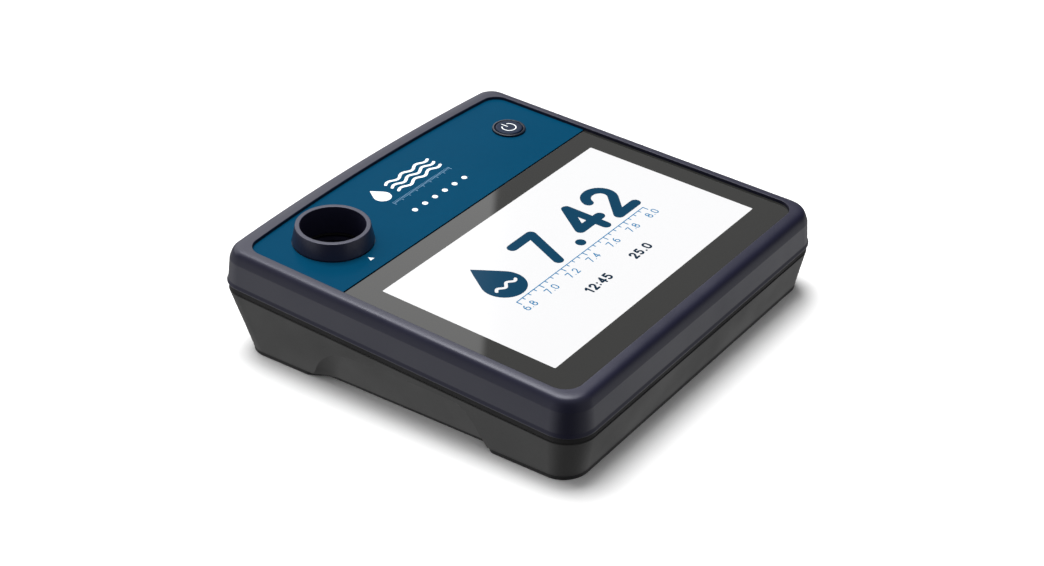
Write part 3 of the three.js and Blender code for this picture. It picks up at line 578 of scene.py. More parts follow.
def lerp(a, b, t):
    return [tuple(p[i] + (q[i] - p[i]) * t for i in range(3)) for p, q in zip(a, b)]


SEG, NS = 24, 24
top_ring = [tuple(deck_pt(u, v, H_SEAM)) for u, v in case_outline(DRAFT, SEG, NS)]
top_in = [tuple(deck_pt(u, v, H_SEAM)) for u, v in case_outline(DRAFT - 0.35, SEG, NS)]
low_ring = at_h(base_outline(0.15, SEG, NS), BASE_Z + 1.0)
# bottom edge rounded to 0.5 mm
bottom = []
for k in range(6):
    a = math.pi / 2 * k / 6
    bottom.append(at_h(base_outline(0.15 + 0.5 * (1 - math.sin(a)), SEG, NS), BASE_Z + 0.5 * (1 - math.cos(a))))
walls = [lerp(low_ring, top_ring, t) for t in (0.0, 0.15, 0.3, 0.45, 0.6, 0.75, 0.9, 0.985)]
outer = loft(bottom + walls + [lerp(low_ring, top_ring, 1.0)[:0] or top_in])
hol_top = [tuple(deck_pt(u, v, H_SEAM + 1)) for u, v in case_outline(DRAFT - WALL, 12)]
hollow = loft([at_h(base_outline(WALL + 0.8, 12), BASE_Z + WALL), hol_top])


def wall_face(z):
    return 97.0 - (25.0 - z) * (2.5 / 23.0) + 0.35


def grip_cutter(side):
    """Concave scoop: steep at its ends, fading out along its top edge."""
    z0 = BASE_Z - 2
    outer_pts = [(44.8, z0), (41.6, 3.9), (39.9, 7.7), (36.9, 12), (32.3, 16.2), (26.4, 19.3), (19, 20.7),
                 (-33, 20.7), (-41.2, 18.6), (-45.6, 13.8), (-49.1, 7.2), (-53.0, z0)]
    inner_pts = [(30, z0), (29.2, 3.9), (28, 7.7), (26, 12), (23, 16.2), (19, 19.3), (14, 20.7),
                 (-30, 20.7), (-38.6, 18.6), (-43.0, 13.8), (-46.4, 7.2), (-50.0, z0)]

    def smooth(pts, k=8):
        # Catmull-Rom through the points; the last span (the bottom edge) stays straight
        res = []
        for i in range(len(pts) - 1):
            p0, p1, p2, p3 = pts[max(0, i - 1)], pts[i], pts[i + 1], pts[min(len(pts) - 1, i + 2)]
            for j in range(k):
                t = j / k
                res.append(tuple(0.5 * ((2 * p1[c]) + (-p0[c] + p2[c]) * t + (2 * p0[c] - 5 * p1[c] + 4 * p2[c] - p3[c]) * t * t
                                        + (-p0[c] + 3 * p1[c] - 3 * p2[c] + p3[c]) * t ** 3) for c in (0, 1)))
        res.append(pts[-1])
        return res
    A, B = smooth(outer_pts), smooth(inner_pts)
    rings = [[(side * (wall_face(z) + 5), y, z) for y, z in A]]
    K = 9
    for k in range(K + 1):
        t = k / K
        # the ends sweep in: slow start along the wall, then round into the floor of the scoop
        depth = math.sin(math.pi / 2 * t) ** 1.25
        ring = []
        for (ya, za), (yb, zb) in zip(A, B):
            y, z = ya + (yb - ya) * t, za + (zb - za) * t
            full = GRIP_DEPTH * max(0.0, (GRIP_TOP + 0.1 - z)) / (GRIP_TOP - BASE_Z)
            ring.append((side * (wall_face(z) + 0.02 * (1 - t) - 0.35 * min(1, t * 3) - full * depth), y, z))
        rings.append(ring)
    return loft(rings)


top_edge = deck_pt(0, REAR - REAR_BOW * PORT_X ** 2 + DRAFT, H_SEAM)
wall_up = Vector((0, top_edge.y - BASE_REAR, top_edge.z - BASE_Z)).normalized()
wall_out = Vector((0, wall_up.z, -wall_up.y))
port_at = Vector((PORT_X, BASE_REAR + wall_up.y / wall_up.z * (PORT_Z - BASE_Z), PORT_Z))
WALLM = Matrix(((-1, 0, 0, port_at.x), (0, wall_up.y, wall_out.y, port_at.y), (0, wall_up.z, wall_out.z, port_at.z), (0, 0, 0, 1)))


def wall_rr(hx, s0, s1, n0, n1, r, edge=0.0, seg=8):
    me = prism(round_rect(hx, s0, s1, r, r, seg), n0, n1, edge)
    me.transform(WALLM)
    return me


door_pocket = prism(round_rect(DOOR_X + 0.3, DOOR_Y[0] - 0.3, DOOR_Y[1] + 0.3, 3.3, 3.3, 10), 0, BASE_Z + 2.5)
hollow = boolean(hollow, [
    ("DIFFERENCE", box(-97, -87.6, -57, 48, 0, 22.6)), ("DIFFERENCE", box(87.6, 97, -57, 48, 0, 22.6)),
    ("DIFFERENCE", box(-DOOR_X - 2, DOOR_X + 2, DOOR_Y[0] - 2, DOOR_Y[1] + 2, 0, 7.0)),
    ("DIFFERENCE", wall_rr(15.5, -10.2, 10.2, -7.6, 1, 1.5))])
ops = [("DIFFERENCE", hollow), ("DIFFERENCE", grip_cutter(1)), ("DIFFERENCE", grip_cutter(-1)),
       ("UNION", boolean(box(-BAY_X - 2, BAY_X + 2, BAY_Y[0] - 2, BAY_Y[1] + 2, 5, 24.0),
                         [("DIFFERENCE", box(-BAY_X, BAY_X, BAY_Y[0], BAY_Y[1], 0, 30))])),
       ("DIFFERENCE", box(-BAY_X, BAY_X, BAY_Y[0], BAY_Y[1], 0, 30)),
       ("DIFFERENCE", door_pocket)]
for s in (-1, 1):
    ops.append(("DIFFERENCE", cyl(1.9, 3, 6.2, s * 44, -40.4, 32)))
for x, y in [(-54, -72), (54, -72), (-54, 14), (54, 14)]:
    ops += [("UNION", cyl(3.2, BASE_Z + WALL - 0.4, 24.7, x, y, 32)), ("DIFFERENCE", cyl(1.5, 17, 26, x, y, 24))]
for x, y in [(26, 63.8), (42, 63.8)]:
    ops += [("UNION", cyl(2.6, BASE_Z + WALL - 0.4, 11.5, x, y, 32)), ("DIFFERENCE", cyl(1.2, 6, 12, x, y, 24))]
for x, y in CASE_SCREWS:
    bore = lathe([(0, 11.3), (3.3, 11.3), (3.3, 2.5), (3.8, 2.0), (3.8, 0), (0, 0)], 48)
    bore.transform(Matrix.Translation((x, y, 0)))
    ops += [("UNION", cyl(5.0, BASE_Z + WALL - 0.4, 20.0, x, y, 48)), ("DIFFERENCE", bore),
            ("DIFFERENCE", cyl(1.8, 10, 22, x, y, 24))]
ops += [("DIFFERENCE", wall_rr(13, -8.3, 8.3, -1.8, 3, 1.6)), ("DIFFERENCE", wall_rr(8.8, -4.8, 4.8, -5.6, 3, 1.4)),
        ("DIFFERENCE", box(PORT_X - 4.95, PORT_X + 4.95, 60, 90, PORT_Z - 2.15, PORT_Z + 2.15))]
place("lower_shell_fine", boolean(outer, ops), GREY, replaces=("lower_shell",), angle=20)

# ---------------------------------------------------------------- foot ring
def stepped(inset, seg=16):
    pts = round_rect(BASE_X - inset, BASE_FRONT + inset, BASE_REAR - inset, BASE_RF - inset, BASE_RR - inset, seg)
    k = seg + 1
    a = BASE_X - inset
    b = a - GRIP_DEPTH - 0.3

    def ease(y0, x0, y1, x1, n=8):
        return [(x0 + (x1 - x0) * (3 * t * t - 2 * t ** 3), y0 + (y1 - y0) * t) for t in [i / n for i in range(n + 1)]]
    right = ease(-54, a, -47, b) + ease(35, b, 46, a)
    left = [(-x, y) for x, y in reversed(right)]
    return pts[:k] + right + pts[k:3 * k] + left + pts[3 * k:]


prof = fillet([(0.5, BASE_Z - 0.02, 0.12), (0.5, 0.001, 0.35), (4.4, 0.001, 0.35), (4.4, BASE_Z - 0.02)], 4)
place("base_ring_fine", loft([at_h(stepped(i), z) for i, z in prof], closed=True), RUBBER, replaces=("base_ring",))

# ---------------------------------------------------------------- deck: glass, screen, overlay
place("cover_glass_fine", prism(round_rect(RECESS_X - 0.12, RECESS_FRONT + 0.12, SPLIT_V - 0.36, RECESS_RF - 0.1, 0.5, 24), -GLASS_T, 0.0, 0.18, 4),
      GLASS, deck=True, replaces=("cover_glass",))
overlay = boolean(prism(bowed_rect(RECESS_X - 0.12, SPLIT_V + 0.36, RECESS_REAR - 0.12, 0.6, RECESS_RR - 0.1, RECESS_BOW, 24), -OVERLAY_T, 0.0, 0.08, 2),
                  [("DIFFERENCE", cyl(COLLAR_BASE_R + 0.15, -2, 2, WELL_U, WELL_V, 128)),
                   ("DIFFERENCE", cyl(BEZEL_R + 0.12, -2, 2, BUTTON_U, BUTTON_V, 96))])
place("control_overlay_fine", overlay, BLUE, deck=True, replaces=("control_overlay",))


def flat(name, outlines, h0, h1, mat, body="case"):
    """Thin printed shapes (any simple outlines, holes not needed) as one piece."""
    verts, faces = [], []
    for o in outlines:
        n, k = len(o), len(verts)
        verts += [(x, y, h0) for x, y in o] + [(x, y, h1) for x, y in o]
        faces.append(tuple(k + i for i in reversed(range(n))))
        faces.append(tuple(k + n + i for i in range(n)))
        faces += [(k + i, k + (i + 1) % n, k + n + (i + 1) % n, k + n + i) for i in range(n)]
    me = mesh_of(name, verts, faces)
    return place(name, me, mat, deck=True, body=body, weighted=False)


place("screen_picture", prism(round_rect(SCREEN_U, SCREEN_V0, SCREEN_V1, 0.6, 0.6, 6), 0.002, 0.012), SCREEN, deck=True, weighted=False)


def stroke(points, w, seg=8):
    """Round-ended line of width w through points (a simple outline)."""
    P = [Vector(p) for p in points]
    left, right = [], []
    for i, p in enumerate(P):
        a, b = P[max(0, i - 1)], P[min(len(P) - 1, i + 1)]
        t = (b - a).normalized()
        nrm = Vector((-t.y, t.x))
        if 0 < i < len(P) - 1:
            t1 = (p - P[i - 1]).normalized()
            k = w / 2 / max(0.5, nrm.dot(Vector((-t1.y, t1.x))))
        else:
            k = w / 2
        left.append(p + nrm * k)
        right.append(p - nrm * k)

    def cap(c, start, sweep=-math.pi):
        a0 = math.atan2(start.y - c.y, start.x - c.x)
        return [c + Vector((math.cos(a0 + sweep * i / seg), math.sin(a0 + sweep * i / seg))) * (w / 2) for i in range(1, seg)]
    out = left + cap(P[-1], left[-1]) + list(reversed(right)) + cap(P[0], right[0])
    return [tuple(q) for q in out]


def arc_pts(cx, cy, r, a0, a1, n=24):
    return [(cx + r * math.cos(math.radians(a0 + (a1 - a0) * i / n)), cy + r * math.sin(math.radians(a0 + (a1 - a0) * i / n))) for i in range(n + 1)]


def drop(cx, cy, s, n=28):
    """Water drop: round below, pointed above; s is its height."""
    r = s * 0.36
    pts = arc_pts(cx, cy - s * 0.14, r, -215, 35, n)
    return pts + [(cx + s * 0.10, cy + s * 0.36), (cx, cy + s * 0.5), (cx - s * 0.10, cy + s * 0.36)]


GLYPHS = {   # strokes in a box 1 high and 0.6 wide, on the pen's centre line
    "0": [arc_pts(0.3, 0.7, 0.3, 0, 180, 14) + arc_pts(0.3, 0.3, 0.3, 180, 360, 14) + [(0.6, 0.5), (0.6, 0.7)]],
    "1": [[(0.08, 0.80), (0.34, 1.0)], [(0.34, 1.0), (0.34, 0.0)]],
    "2": [arc_pts(0.3, 0.71, 0.29, 165, -40, 16) + [(0.02, 0.0)], [(0.02, 0.0), (0.6, 0.0)]],
    "4": [[(0.46, 1.0), (0.0, 0.30)], [(0.0, 0.30), (0.66, 0.30)], [(0.46, 1.0), (0.46, 0.0)]],
    "5": [[(0.54, 1.0), (0.10, 1.0)], [(0.10, 1.0), (0.06, 0.56)], [(0.06, 0.56)] + arc_pts(0.28, 0.31, 0.31, 112, -140, 16)],
    "6": [arc_pts(0.3, 0.3, 0.3, 0, 360, 24), [(0.04, 0.42)] + arc_pts(0.52, 0.50, 0.50, 180, 104, 10)],
    "7": [[(0.0, 1.0), (0.6, 1.0)], [(0.6, 1.0), (0.2, 0.0)]],
    "8": [arc_pts(0.3, 0.745, 0.255, 0, 360, 24), arc_pts(0.3, 0.26, 0.30, 0, 360, 24)],
    ".": [[(0.06, 0.02), (0.061, 0.02)]],
    ":": [[(0.06, 0.16), (0.061, 0.16)], [(0.06, 0.66), (0.061, 0.66)]],
}


def figures(text, x, y, width, hgt, pen, h0, h1, gap=0.20):
    """Figures hgt tall from x to x + width, standing on y, pen wide, as one closed thin mesh."""
    wide = {"1": 0.42, ".": 0.12, ":": 0.12, " ": 0.42}
    total = sum(wide.get(c, 0.6) for c in text) + gap * (len(text) - 1)
    kx, ky = (width - pen) / total, hgt - pen
    parts, at = [], 0.0
    for c in text:
        for line in GLYPHS.get(c, []):
            pts = [(x + pen / 2 + (at + px) * kx, y + pen / 2 + py * ky) for px, py in line]
            if line[0] == line[-1] or (abs(line[0][0] - line[-1][0]) < 1e-6 and abs(line[0][1] - line[-1][1]) < 1e-6):
                half = len(pts) // 2      # a closed loop goes in as two open halves
                runs = [pts[:half + 1], pts[half:]]
            else:
                runs = [pts]
            parts += [stroke(r, pen, 8) for r in runs]
        at += wide.get(c, 0.6) + gap
    first, rest = parts[0], parts[1:]
    me = boolean(loft([at_h(first, 0.0), at_h(first, 1.0)]), [("UNION", loft([at_h(q, 0.0), at_h(q, 1.0)])) for q in rest])
    for v in me.vertices:
        v.co.z = h1 if v.co.z > 0.5 else h0
    return me


# on screen: a drop and a reading, a line with a coarse ruler and its figures under it, and a status row of figures
place("screen_reading", figures("7.42", -19.0, -31.0, 70.0, 26.0, 5.0, 0.012, 0.020, 0.30), UI_TEAL, deck=True, weighted=False)
flat("screen_drop", [drop(-41.5, -17.5, 28.0)], 0.012, 0.020, UI_TEAL)
wave = [stroke([(-48.0 + i * 0.5, -22.4 + 1.0 * math.sin(i * 0.5 * 0.95)) for i in range(27)], 1.5)]
flat("screen_drop_wave", wave, 0.020, 0.026, SCREEN)
ticks = [stroke([(-49.0 + i * 4.0, -33.6), (-49.0 + i * 4.0, -34.9 if i % 4 else -36.0)], 0.6, 4) for i in range(25)]
flat("screen_scale", ticks + [stroke([(-49.0, -33.4), (47.0, -33.4)], 0.5, 4)], 0.012, 0.020, UI_SKY)
place("screen_scale_figures", figures("6.8   7.0   7.2   7.4   7.6   7.8   8.0", -51.0, -41.2, 100.0, 4.0, 0.55, 0.012, 0.020, 0.35), UI_SKY,
      deck=True, weighted=False)
place("screen_clock", figures("12:45     25.0", -24.5, -54.6, 47.5, 5.0, 1.05, 0.012, 0.020, 0.42), UI_INK, deck=True, weighted=False)

# on the overlay: drop and waves, a fine ruler, a row of dots, and the mark that a vial lines up with
ink = [drop(-18.2, 64.8, 11.5)]
for k, v in enumerate((68.4, 64.6, 60.8)):
    L0 = 30.0
    ink.append(stroke([(-9.6 + i * 0.5, v + 0.95 * math.sin(i * 0.5 * 0.62)) for i in range(int(L0 / 0.5) + 1)], 1.45))
flat("overlay_waves", ink, 0.0, 0.015, WHITE_INK)
fine = [stroke([(-19.5 + i * 1.0, 56.4), (-19.5 + i * 1.0, 55.0 if i % 5 else 54.0)], 0.28, 4) for i in range(41)]
flat("overlay_ruler", fine, 0.0, 0.015, PALE_INK)
dots = [circle(1.35, -18.0 + i * 7.2, 44.8, 40) for i in range(6)]
flat("overlay_dots", dots, 0.0, 0.015, WHITE_INK)
flat("well_marker", [[(WELL_U - 2.7, 33.8), (WELL_U - 0.1, 33.8), (WELL_U - 1.4, 36.2)]], 0.0, 0.015, WHITE_INK)

# ---------------------------------------------------------------- sample well
collar = fillet([
    (BORE_R, -5.5, 0.3), (16.1, -5.5, 0.3), (16.1, -0.5), (COLLAR_BASE_R - 0.25, -0.5, 0.2), (COLLAR_BASE_R, 0.5, 0.7),
    (COLLAR_TOP_R - 0.02, COLLAR_H - 0.01, 0.38), (BORE_R + 0.02, COLLAR_H - 0.01, 0.30)], 6)
place("sample_collar_fine", lathe(collar, 160), COLLAR, deck=True, at=(WELL_U, WELL_V, 0), replaces=("sample_collar",))
seal = [(15.35 + 0.85 * math.cos(2 * math.pi * i / 20), -6.4 + 0.6 * math.sin(2 * math.pi * i / 20)) for i in range(20)]
place("collar_seal_fine", lathe(seal, 96), RUBBER, deck=True, at=(WELL_U, WELL_V, 0), replaces=("collar_seal",))
CT, CF, BH = -7.3, -37.5, -26.0
body = lathe(fillet([(0, CF - 2.5), (15.5, CF - 2.5, 0.6), (15.5, CT - 2, 0.4), (18.5, CT - 2, 0.2), (18.5, CT, 0.3), (CHAMBER_R + 0.8, CT, 0.2),
                     (CHAMBER_R, CT - 1, 0.3), (CHAMBER_R, CF, 0.8), (0, CF)], 4), 128)


def cyl_x(r, x0, x1, z, seg=48):
    me = cyl(r, x0, x1, 0, 0, seg)
    me.transform(Matrix.Translation((0, 0, z)) @ Matrix.Rotation(math.pi / 2, 4, 'Y'))
    return me


ops = []
for s in (-1, 1):
    e = box(15, 25.2, -4, 4, CT - 2, CT) if s > 0 else box(-25.2, -15, -4, 4, CT - 2, CT)
    ops += [("UNION", e), ("DIFFERENCE", cyl(1.7, CT - 3, CT + 1, s * 21.5, 0, 32))]
    for w in (-1, 1):
        y0, y1 = (7, 9) if w > 0 else (-9, -7)
        ops.append(("UNION", box(12.6, 19.7, y0, y1, BH - 7, BH + 7) if s > 0 else box(-19.7, -12.6, y0, y1, BH - 7, BH + 7)))
ops += [("DIFFERENCE", cyl(CHAMBER_R, CF + 0.02, CT + 1, 0, 0, 128)), ("DIFFERENCE", cyl_x(3.0, -17, 17, BH))]
place("sample_chamber_fine", boolean(body, ops), BLACK, deck=True, at=(WELL_U, WELL_V, 0), replaces=("sample_chamber",))

# ---------------------------------------------------------------- power button
AT_B = (BUTTON_U, BUTTON_V, 0)
bez = fillet([(CAP_R + 0.22, -0.5), (BEZEL_R, -0.5), (BEZEL_R, 0.95, 0.34), (CAP_R + 0.62, 1.05, 0.22), (CAP_R + 0.22, 0.55, 0.15)], 6)
place("button_bezel_fine", lathe(bez, 128), BEZEL, deck=True, at=AT_B, replaces=("button_bezel",))
cap = [(0, -6.2), (8.2, -6.2), (8.2, -4.6), (CAP_R, -4.6)]
cap += fillet([(CAP_R, -4.6), (CAP_R, 1.15, 0.5), (0, 1.15)], 6)[1:-1]
for i in range(1, 9):   # face dished by 0.12 mm
    r = (CAP_R - 0.9) * (1 - i / 8)
    cap.append((r, 1.03 + 0.12 * (r / (CAP_R - 0.9)) ** 2))
place("power_button_fine", lathe(cap, 128), CAP, body="power_button", deck=True, at=AT_B, replaces=("power_button_cap",))
ic = arc_pts(BUTTON_U, BUTTON_V, 3.35, 126, 414, 56)
flat("power_symbol", [stroke(ic, 0.55, 8), stroke([(BUTTON_U, BUTTON_V + 0.9), (BUTTON_U, BUTTON_V + 4.2)], 0.55, 8)], 1.09, 1.17, WHITE_INK,
     body="power_button")

# ---------------------------------------------------------------- underside: door and screws
door = prism(round_rect(DOOR_X, DOOR_Y[0], DOOR_Y[1], 3, 3, 12), BASE_Z, BASE_Z + 2.2, 0.25, 3)
ops = []
for s in (-1, 1):
    ops.append(("DIFFERENCE", cyl(1.5, 0, 6, s * 44, -40.4, 48)))
    cb = lathe([(0, 0), (3.5, 0), (3.5, BASE_Z), (3.1, BASE_Z + 0.4), (3.1, BASE_Z + 1.3), (0, BASE_Z + 1.3)], 64)
    cb.transform(Matrix.Translation((s * 44, -40.4, 0)))
    ops.append(("DIFFERENCE", cb))
for x in (-20, 0, 20):
    ops.append(("UNION", box(x - 0.8, x + 0.8, BAY_Y[0] + 2, BAY_Y[1] - 2, BASE_Z + 2.0, BASE_Z + 2.9)))
for i in range(7):   # thumb ribs cut into the outside
    y = -22.5 - i * 2.4
    ops.append(("DIFFERENCE", prism([(x, yy + y) for x, yy in round_rect(12 - abs(i - 3) * 1.2, -0.5, 0.5, 0.49, 0.49, 6)], 0, BASE_Z + 0.5)))
place("battery_door_fine", boolean(door, ops), GREY, body="battery_hatch", replaces=("battery_door",), angle=20)


def screw(rh, th, rs, length):
    """Pan head below z = 0 with a cross recess, threaded shank above."""
    head = lathe(fillet([(0, -th), (rh * 0.9, -th, rh * 0.3), (rh, -th * 0.5, 0.15), (rh, 0, 0.08), (0, 0)], 5), 64)
    w = rh * 0.15
    head = boolean(head, [("DIFFERENCE", box(-rh * 0.6, rh * 0.6, -w, w, -th - 1, -th * 0.45)),
                          ("DIFFERENCE", box(-w, w, -rh * 0.6, rh * 0.6, -th - 1, -th * 0.45))])
    prof, z, pitch = [(0, -0.2), (rs * 0.86, -0.2), (rs * 0.86, 0.4)], 0.4, rs * 0.62
    while z + pitch < length - rs:
        prof += [(rs, z + pitch * 0.45), (rs, z + pitch * 0.55), (rs * 0.8, z + pitch * 0.98)]
        z += pitch
    prof += [(rs * 0.8, length - rs * 0.6), (rs * 0.3, length), (0, length)]
    return boolean(head, [("UNION", lathe(prof, 24))])


def screws(items, size, mat, deck=False, flip=False, body="case"):
    for name, pos in items:
        me = screw(*size)
        if flip:
            me.transform(Matrix.Rotation(math.pi, 4, 'X'))
        turn = (hash_angle(name))
        me.transform(Matrix.Rotation(turn, 4, 'Z'))
        place(name + "_fine", me, mat, deck=deck, at=pos, replaces=(name,), body=body)


def hash_angle(name):
    return (sum(ord(c) * (i + 3) for i, c in enumerate(name)) % 17) / 17 * math.pi


screws([(f"case_screw_{i + 1}", (x, y, 11.0)) for i, (x, y) in enumerate(CASE_SCREWS)], (2.8, 2.0, 1.4, 18), DARK_STEEL)
screws([(f"door_screw_{i + 1}", (s * 44, -40.4, BASE_Z + 1.2)) for i, s in enumerate((-1, 1))], (2.8, 1.15, 1.2, 2.2), DARK_STEEL, body="battery_hatch")
screws([(f"bracket_screw_{i + 1}", (u, v, -7.8 - 0.3 - 1.2 - 0.3)) for i, (u, v) in enumerate([(-87.3, -60), (87.3, -60), (-87.3, 6), (87.3, 6)])],
       (2.6, 1.6, 1.2, 4.2), STEEL, deck=True)
screws([(f"chamber_screw_{i + 1}", (WELL_U + s * 21.5, WELL_V, CT - 2.3)) for i, s in enumerate((-1, 1))], (2.8, 1.6, 1.2, 4.0), STEEL, deck=True)
screws([(f"button_board_screw_{i + 1}", (BUTTON_U + s * 10.6, BUTTON_V, -13.3)) for i, s in enumerate((-1, 1))], (2.1, 1.3, 0.9, 6.0), STEEL, deck=True)
screws([(f"board_screw_{i + 1}", (x, y, 26.9)) for i, (x, y) in enumerate([(-54, -72), (54, -72), (-54, 14), (54, 14)])],
       (2.8, 1.5, 1.2, 8), STEEL, flip=True)
screws([(f"usb_board_screw_{i + 1}", (x, y, 13.35)) for i, (x, y) in enumerate([(26, 63.8), (42, 63.8)])], (2.1, 1.3, 0.9, 5), STEEL, flip=True)

# ---------------------------------------------------------------- rear port
flap = wall_rr(12.7, -8.0, 8.0, -1.5, 0.0, 1.5, 0.3, 8)
plug = wall_rr(8.0, -3.9, 4.0, -4.0, -1.4, 1.2, 0.3, 8)
ribs = [("UNION", plug)]
lip = prism([(x, y - 5.7) for x, y in round_rect(5.0, -0.9, 0.9, 0.85, 0.85, 8)], -0.2, 0.45, 0.3, 3)
lip.transform(WALLM)
groove = prism([(x, y + 6.6) for x, y in round_rect(11.4, -0.35, 0.35, 0.3, 0.3, 6)], -0.6, 1.0)
groove.transform(WALLM)
ribs += [("UNION", lip), ("DIFFERENCE", groove)]
place("port_cover_fine", boolean(flap, ribs), RUBBER, body="port_flap", replaces=("port_cover",))
# connector shell with rounded sides and its contact tongue
sock = prism(round_rect(4.45, -1.75, 1.75, 1.7, 1.7, 12), 0, 9.0, 0.15, 3)
sock = boolean(sock, [("DIFFERENCE", prism(round_rect(4.15, -1.42, 1.42, 1.4, 1.4, 12), 2.0, 9.6)),
                      ("UNION", prism(round_rect(3.2, -0.33, 0.33, 0.15, 0.15, 3), 1.5, 7.6))])
sock.transform(Matrix(((1, 0, 0, PORT_X), (0, 0, 1, 71.3), (0, -1, 0, PORT_Z), (0, 0, 0, 1))))
place("usb_socket_fine", sock, NICKEL, replaces=("usb_socket",))

# ---------------------------------------------------------------- inner CAD nodes keep their shape
FINISH = {
    "display_module": SCREEN, "display_bracket": STEEL, "source_window": CLEAR, "detector_window": CLEAR, "source_led": LENS,
    "led_board": BOARD, "photodiode": NICKEL, "detector_board": BOARD, "switch_plunger": CHIP, "tactile_switch": NICKEL,
    "button_board": BOARD, "main_board": BOARD, "processor": CHIP, "radio_module": NICKEL, "display_ribbon": FILM, "usb_board": BOARD,
    "battery_cell_1": CELL, "battery_cell_2": CELL, "battery_link_plate": NICKEL, "battery_terminal_1": NICKEL, "battery_terminal_2": NICKEL,
}
for name, mat in FINISH.items():
    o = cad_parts[name]
    o.data.materials.clear()
    o.data.materials.append(mat)

# ---------------------------------------------------------------- stage, light, camera
floor_me = bpy.data.meshes.new("floor")
S = 12.0
floor_me.from_pydata([(-S, -S, 0), (S, -S, 0), (S, S, 0), (-S, S, 0)], [], [(0, 1, 2, 3)])
floor = bpy.data.objects.new("floor", floor_me)
bpy.context.scene.collection.objects.link(floor)
floor_mat, nt, b = new_mat("pale_floor")
b.inputs["Base Color"].default_value = (0.95, 0.95, 0.95, 1)
b.inputs["Roughness"].default_value = 0.75
b.inputs["Specular IOR Level"].default_value = 0.1
floor_me.materials.append(floor_mat)
floor.visible_glossy = False      # the walls reflect the studio's own dark and light cards, not the sweep
floor.visible_diffuse = False

scene = bpy.context.scene
world = bpy.data.worlds.new("studio")
scene.world = world
world.use_nodes = True
wt = world.node_tree
bg = wt.nodes["Background"]
bg.inputs["Strength"].default_value = 1.0
geo = wt.nodes.new("ShaderNodeTexCoord")


OVERHEAD, WINDOW, LEFT_CARD, RIGHT_CARD = 72.0, 1.45, 0.62, 0.50      # W, then radiances


def heading(az, el):
    """Unit vector; az clockwise from +Y seen from above."""
    a, e = math.radians(az), math.radians(el)
    return (math.sin(a) * math.cos(e), math.cos(a) * math.cos(e), math.sin(e))


def card(az, el, inner, outer, level, floor_level=0.0):
    """A soft round card on the studio's sky: level inside the inner angle, floor_level outside the outer one."""
    d = wt.nodes.new("ShaderNodeVectorMath")
    d.operation = "DOT_PRODUCT"
    wt.links.new(geo.outputs["Generated"], d.inputs[0])
    d.inputs[1].default_value = heading(az, el)
    r = wt.nodes.new("ShaderNodeMapRange")
    r.interpolation_type = "SMOOTHSTEP"
    r.inputs["From Min"].default_value = math.cos(math.radians(outer))
    r.inputs["From Max"].default_value = math.cos(math.radians(inner))
    r.inputs["To Min"].default_value = floor_level
    r.inputs["To Max"].default_value = level
    wt.links.new(d.outputs["Value"], r.inputs["Value"])
    return r.outputs["Result"]


def combine(op, a, b):
    n = wt.nodes.new("ShaderNodeMath")
    n.operation = op
    for k, x in enumerate((a, b)):
        if isinstance(x, float):
            n.inputs[k].default_value = x
        else:
            wt.links.new(x, n.inputs[k])
    return n.outputs["Value"]


def side(az, soft=0.0025):
    """1 on one side of the vertical plane through the origin whose normal has this heading."""
    r = card(az, 0, 0, 0, 1.0)
    m = r.node
    m.inputs["From Min"].default_value = -soft
    m.inputs["From Max"].default_value = soft
    return r


def height(lo, hi):
    """1 between two elevations, soft at both."""
    up = card(0, 90, 0, 0, 1.0)
    up.node.inputs["From Min"].default_value = math.sin(math.radians(lo - 4))
    up.node.inputs["From Max"].default_value = math.sin(math.radians(lo + 4))
    dn = card(0, 90, 0, 0, 0.0, 1.0)
    dn.node.inputs["From Min"].default_value = math.sin(math.radians(hi - 4))
    dn.node.inputs["From Max"].default_value = math.sin(math.radians(hi + 4))
    return combine("MULTIPLY", up, dn)


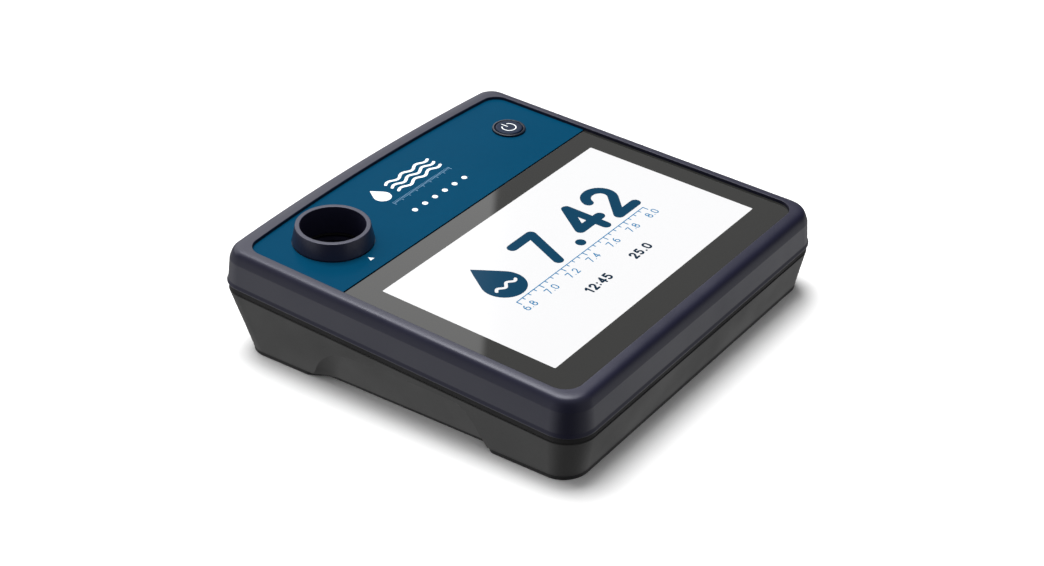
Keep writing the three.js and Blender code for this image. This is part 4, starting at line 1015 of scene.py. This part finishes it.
sky = combine("ADD", 0.40, card(-38, -36, 10, 42, LEFT_CARD))
sky = combine("ADD", sky, card(-66, -18, 12, 40, 0.42))
sky = combine("ADD", sky, card(130, -34, 14, 34, RIGHT_CARD))
sky = combine("MULTIPLY", sky, card(-126, -8, 12, 50, 0.16, 1.0))
sky = combine("MULTIPLY", sky, card(108, 22, 18, 42, 0.16, 1.0))
# a tall window behind, crisp at its right-hand edge
window = combine("MULTIPLY", combine("MULTIPLY", side(55.8 - 90), side(-28 + 90, 0.05)), height(14, 56))
sky = combine("ADD", sky, combine("MULTIPLY", window, WINDOW))
rgb = wt.nodes.new("ShaderNodeCombineColor")
for k in range(3):
    wt.links.new(sky, rgb.inputs[k])
wt.links.new(rgb.outputs["Color"], bg.inputs["Color"])


def area(name, pos, target, size, size_y, power, color=(1, 1, 1), spread=180):
    d = bpy.data.lights.new(name, "AREA")
    d.shape = "RECTANGLE"
    d.size, d.size_y, d.energy, d.color = size, size_y, power, color
    d.spread = math.radians(spread)
    o = bpy.data.objects.new(name, d)
    bpy.context.scene.collection.objects.link(o)
    o.location = pos
    o.rotation_euler = (Vector(target) - Vector(pos)).to_track_quat("-Z", "Y").to_euler()
    return o


area("overhead_soft", (0.34, 0.50, 2.3), (0, 0, 0.03), 1.5, 1.5, OVERHEAD)


scene.view_settings.view_transform = "Standard"
scene.view_settings.look = "None"
scene.view_settings.exposure = 0.0
scene.view_settings.gamma = 1.0

cam_data = bpy.data.cameras.new("camera")
cam = bpy.data.objects.new("camera", cam_data)
bpy.context.scene.collection.objects.link(cam)
X = Vector((0.58582204, -0.81026, -0.01458))
Zf = Vector((0.68416153, 0.50409, -0.52708)).normalized()      # viewing direction
X = (X - Zf * X.dot(Zf)).normalized()
Y = (-Zf).cross(X).normalized()
cam.matrix_world = Matrix(((X.x, Y.x, -Zf.x, -0.5959), (X.y, Y.y, -Zf.y, -0.43855), (X.z, Y.z, -Zf.z, 0.4736), (0, 0, 0, 1)))
cam_data.sensor_width = 36.0
cam_data.lens = 36.0 * 1950.88 / 1044
cam_data.clip_start = 0.01
cam_data.clip_end = 60
scene.camera = cam

bpy.context.view_layer.update()
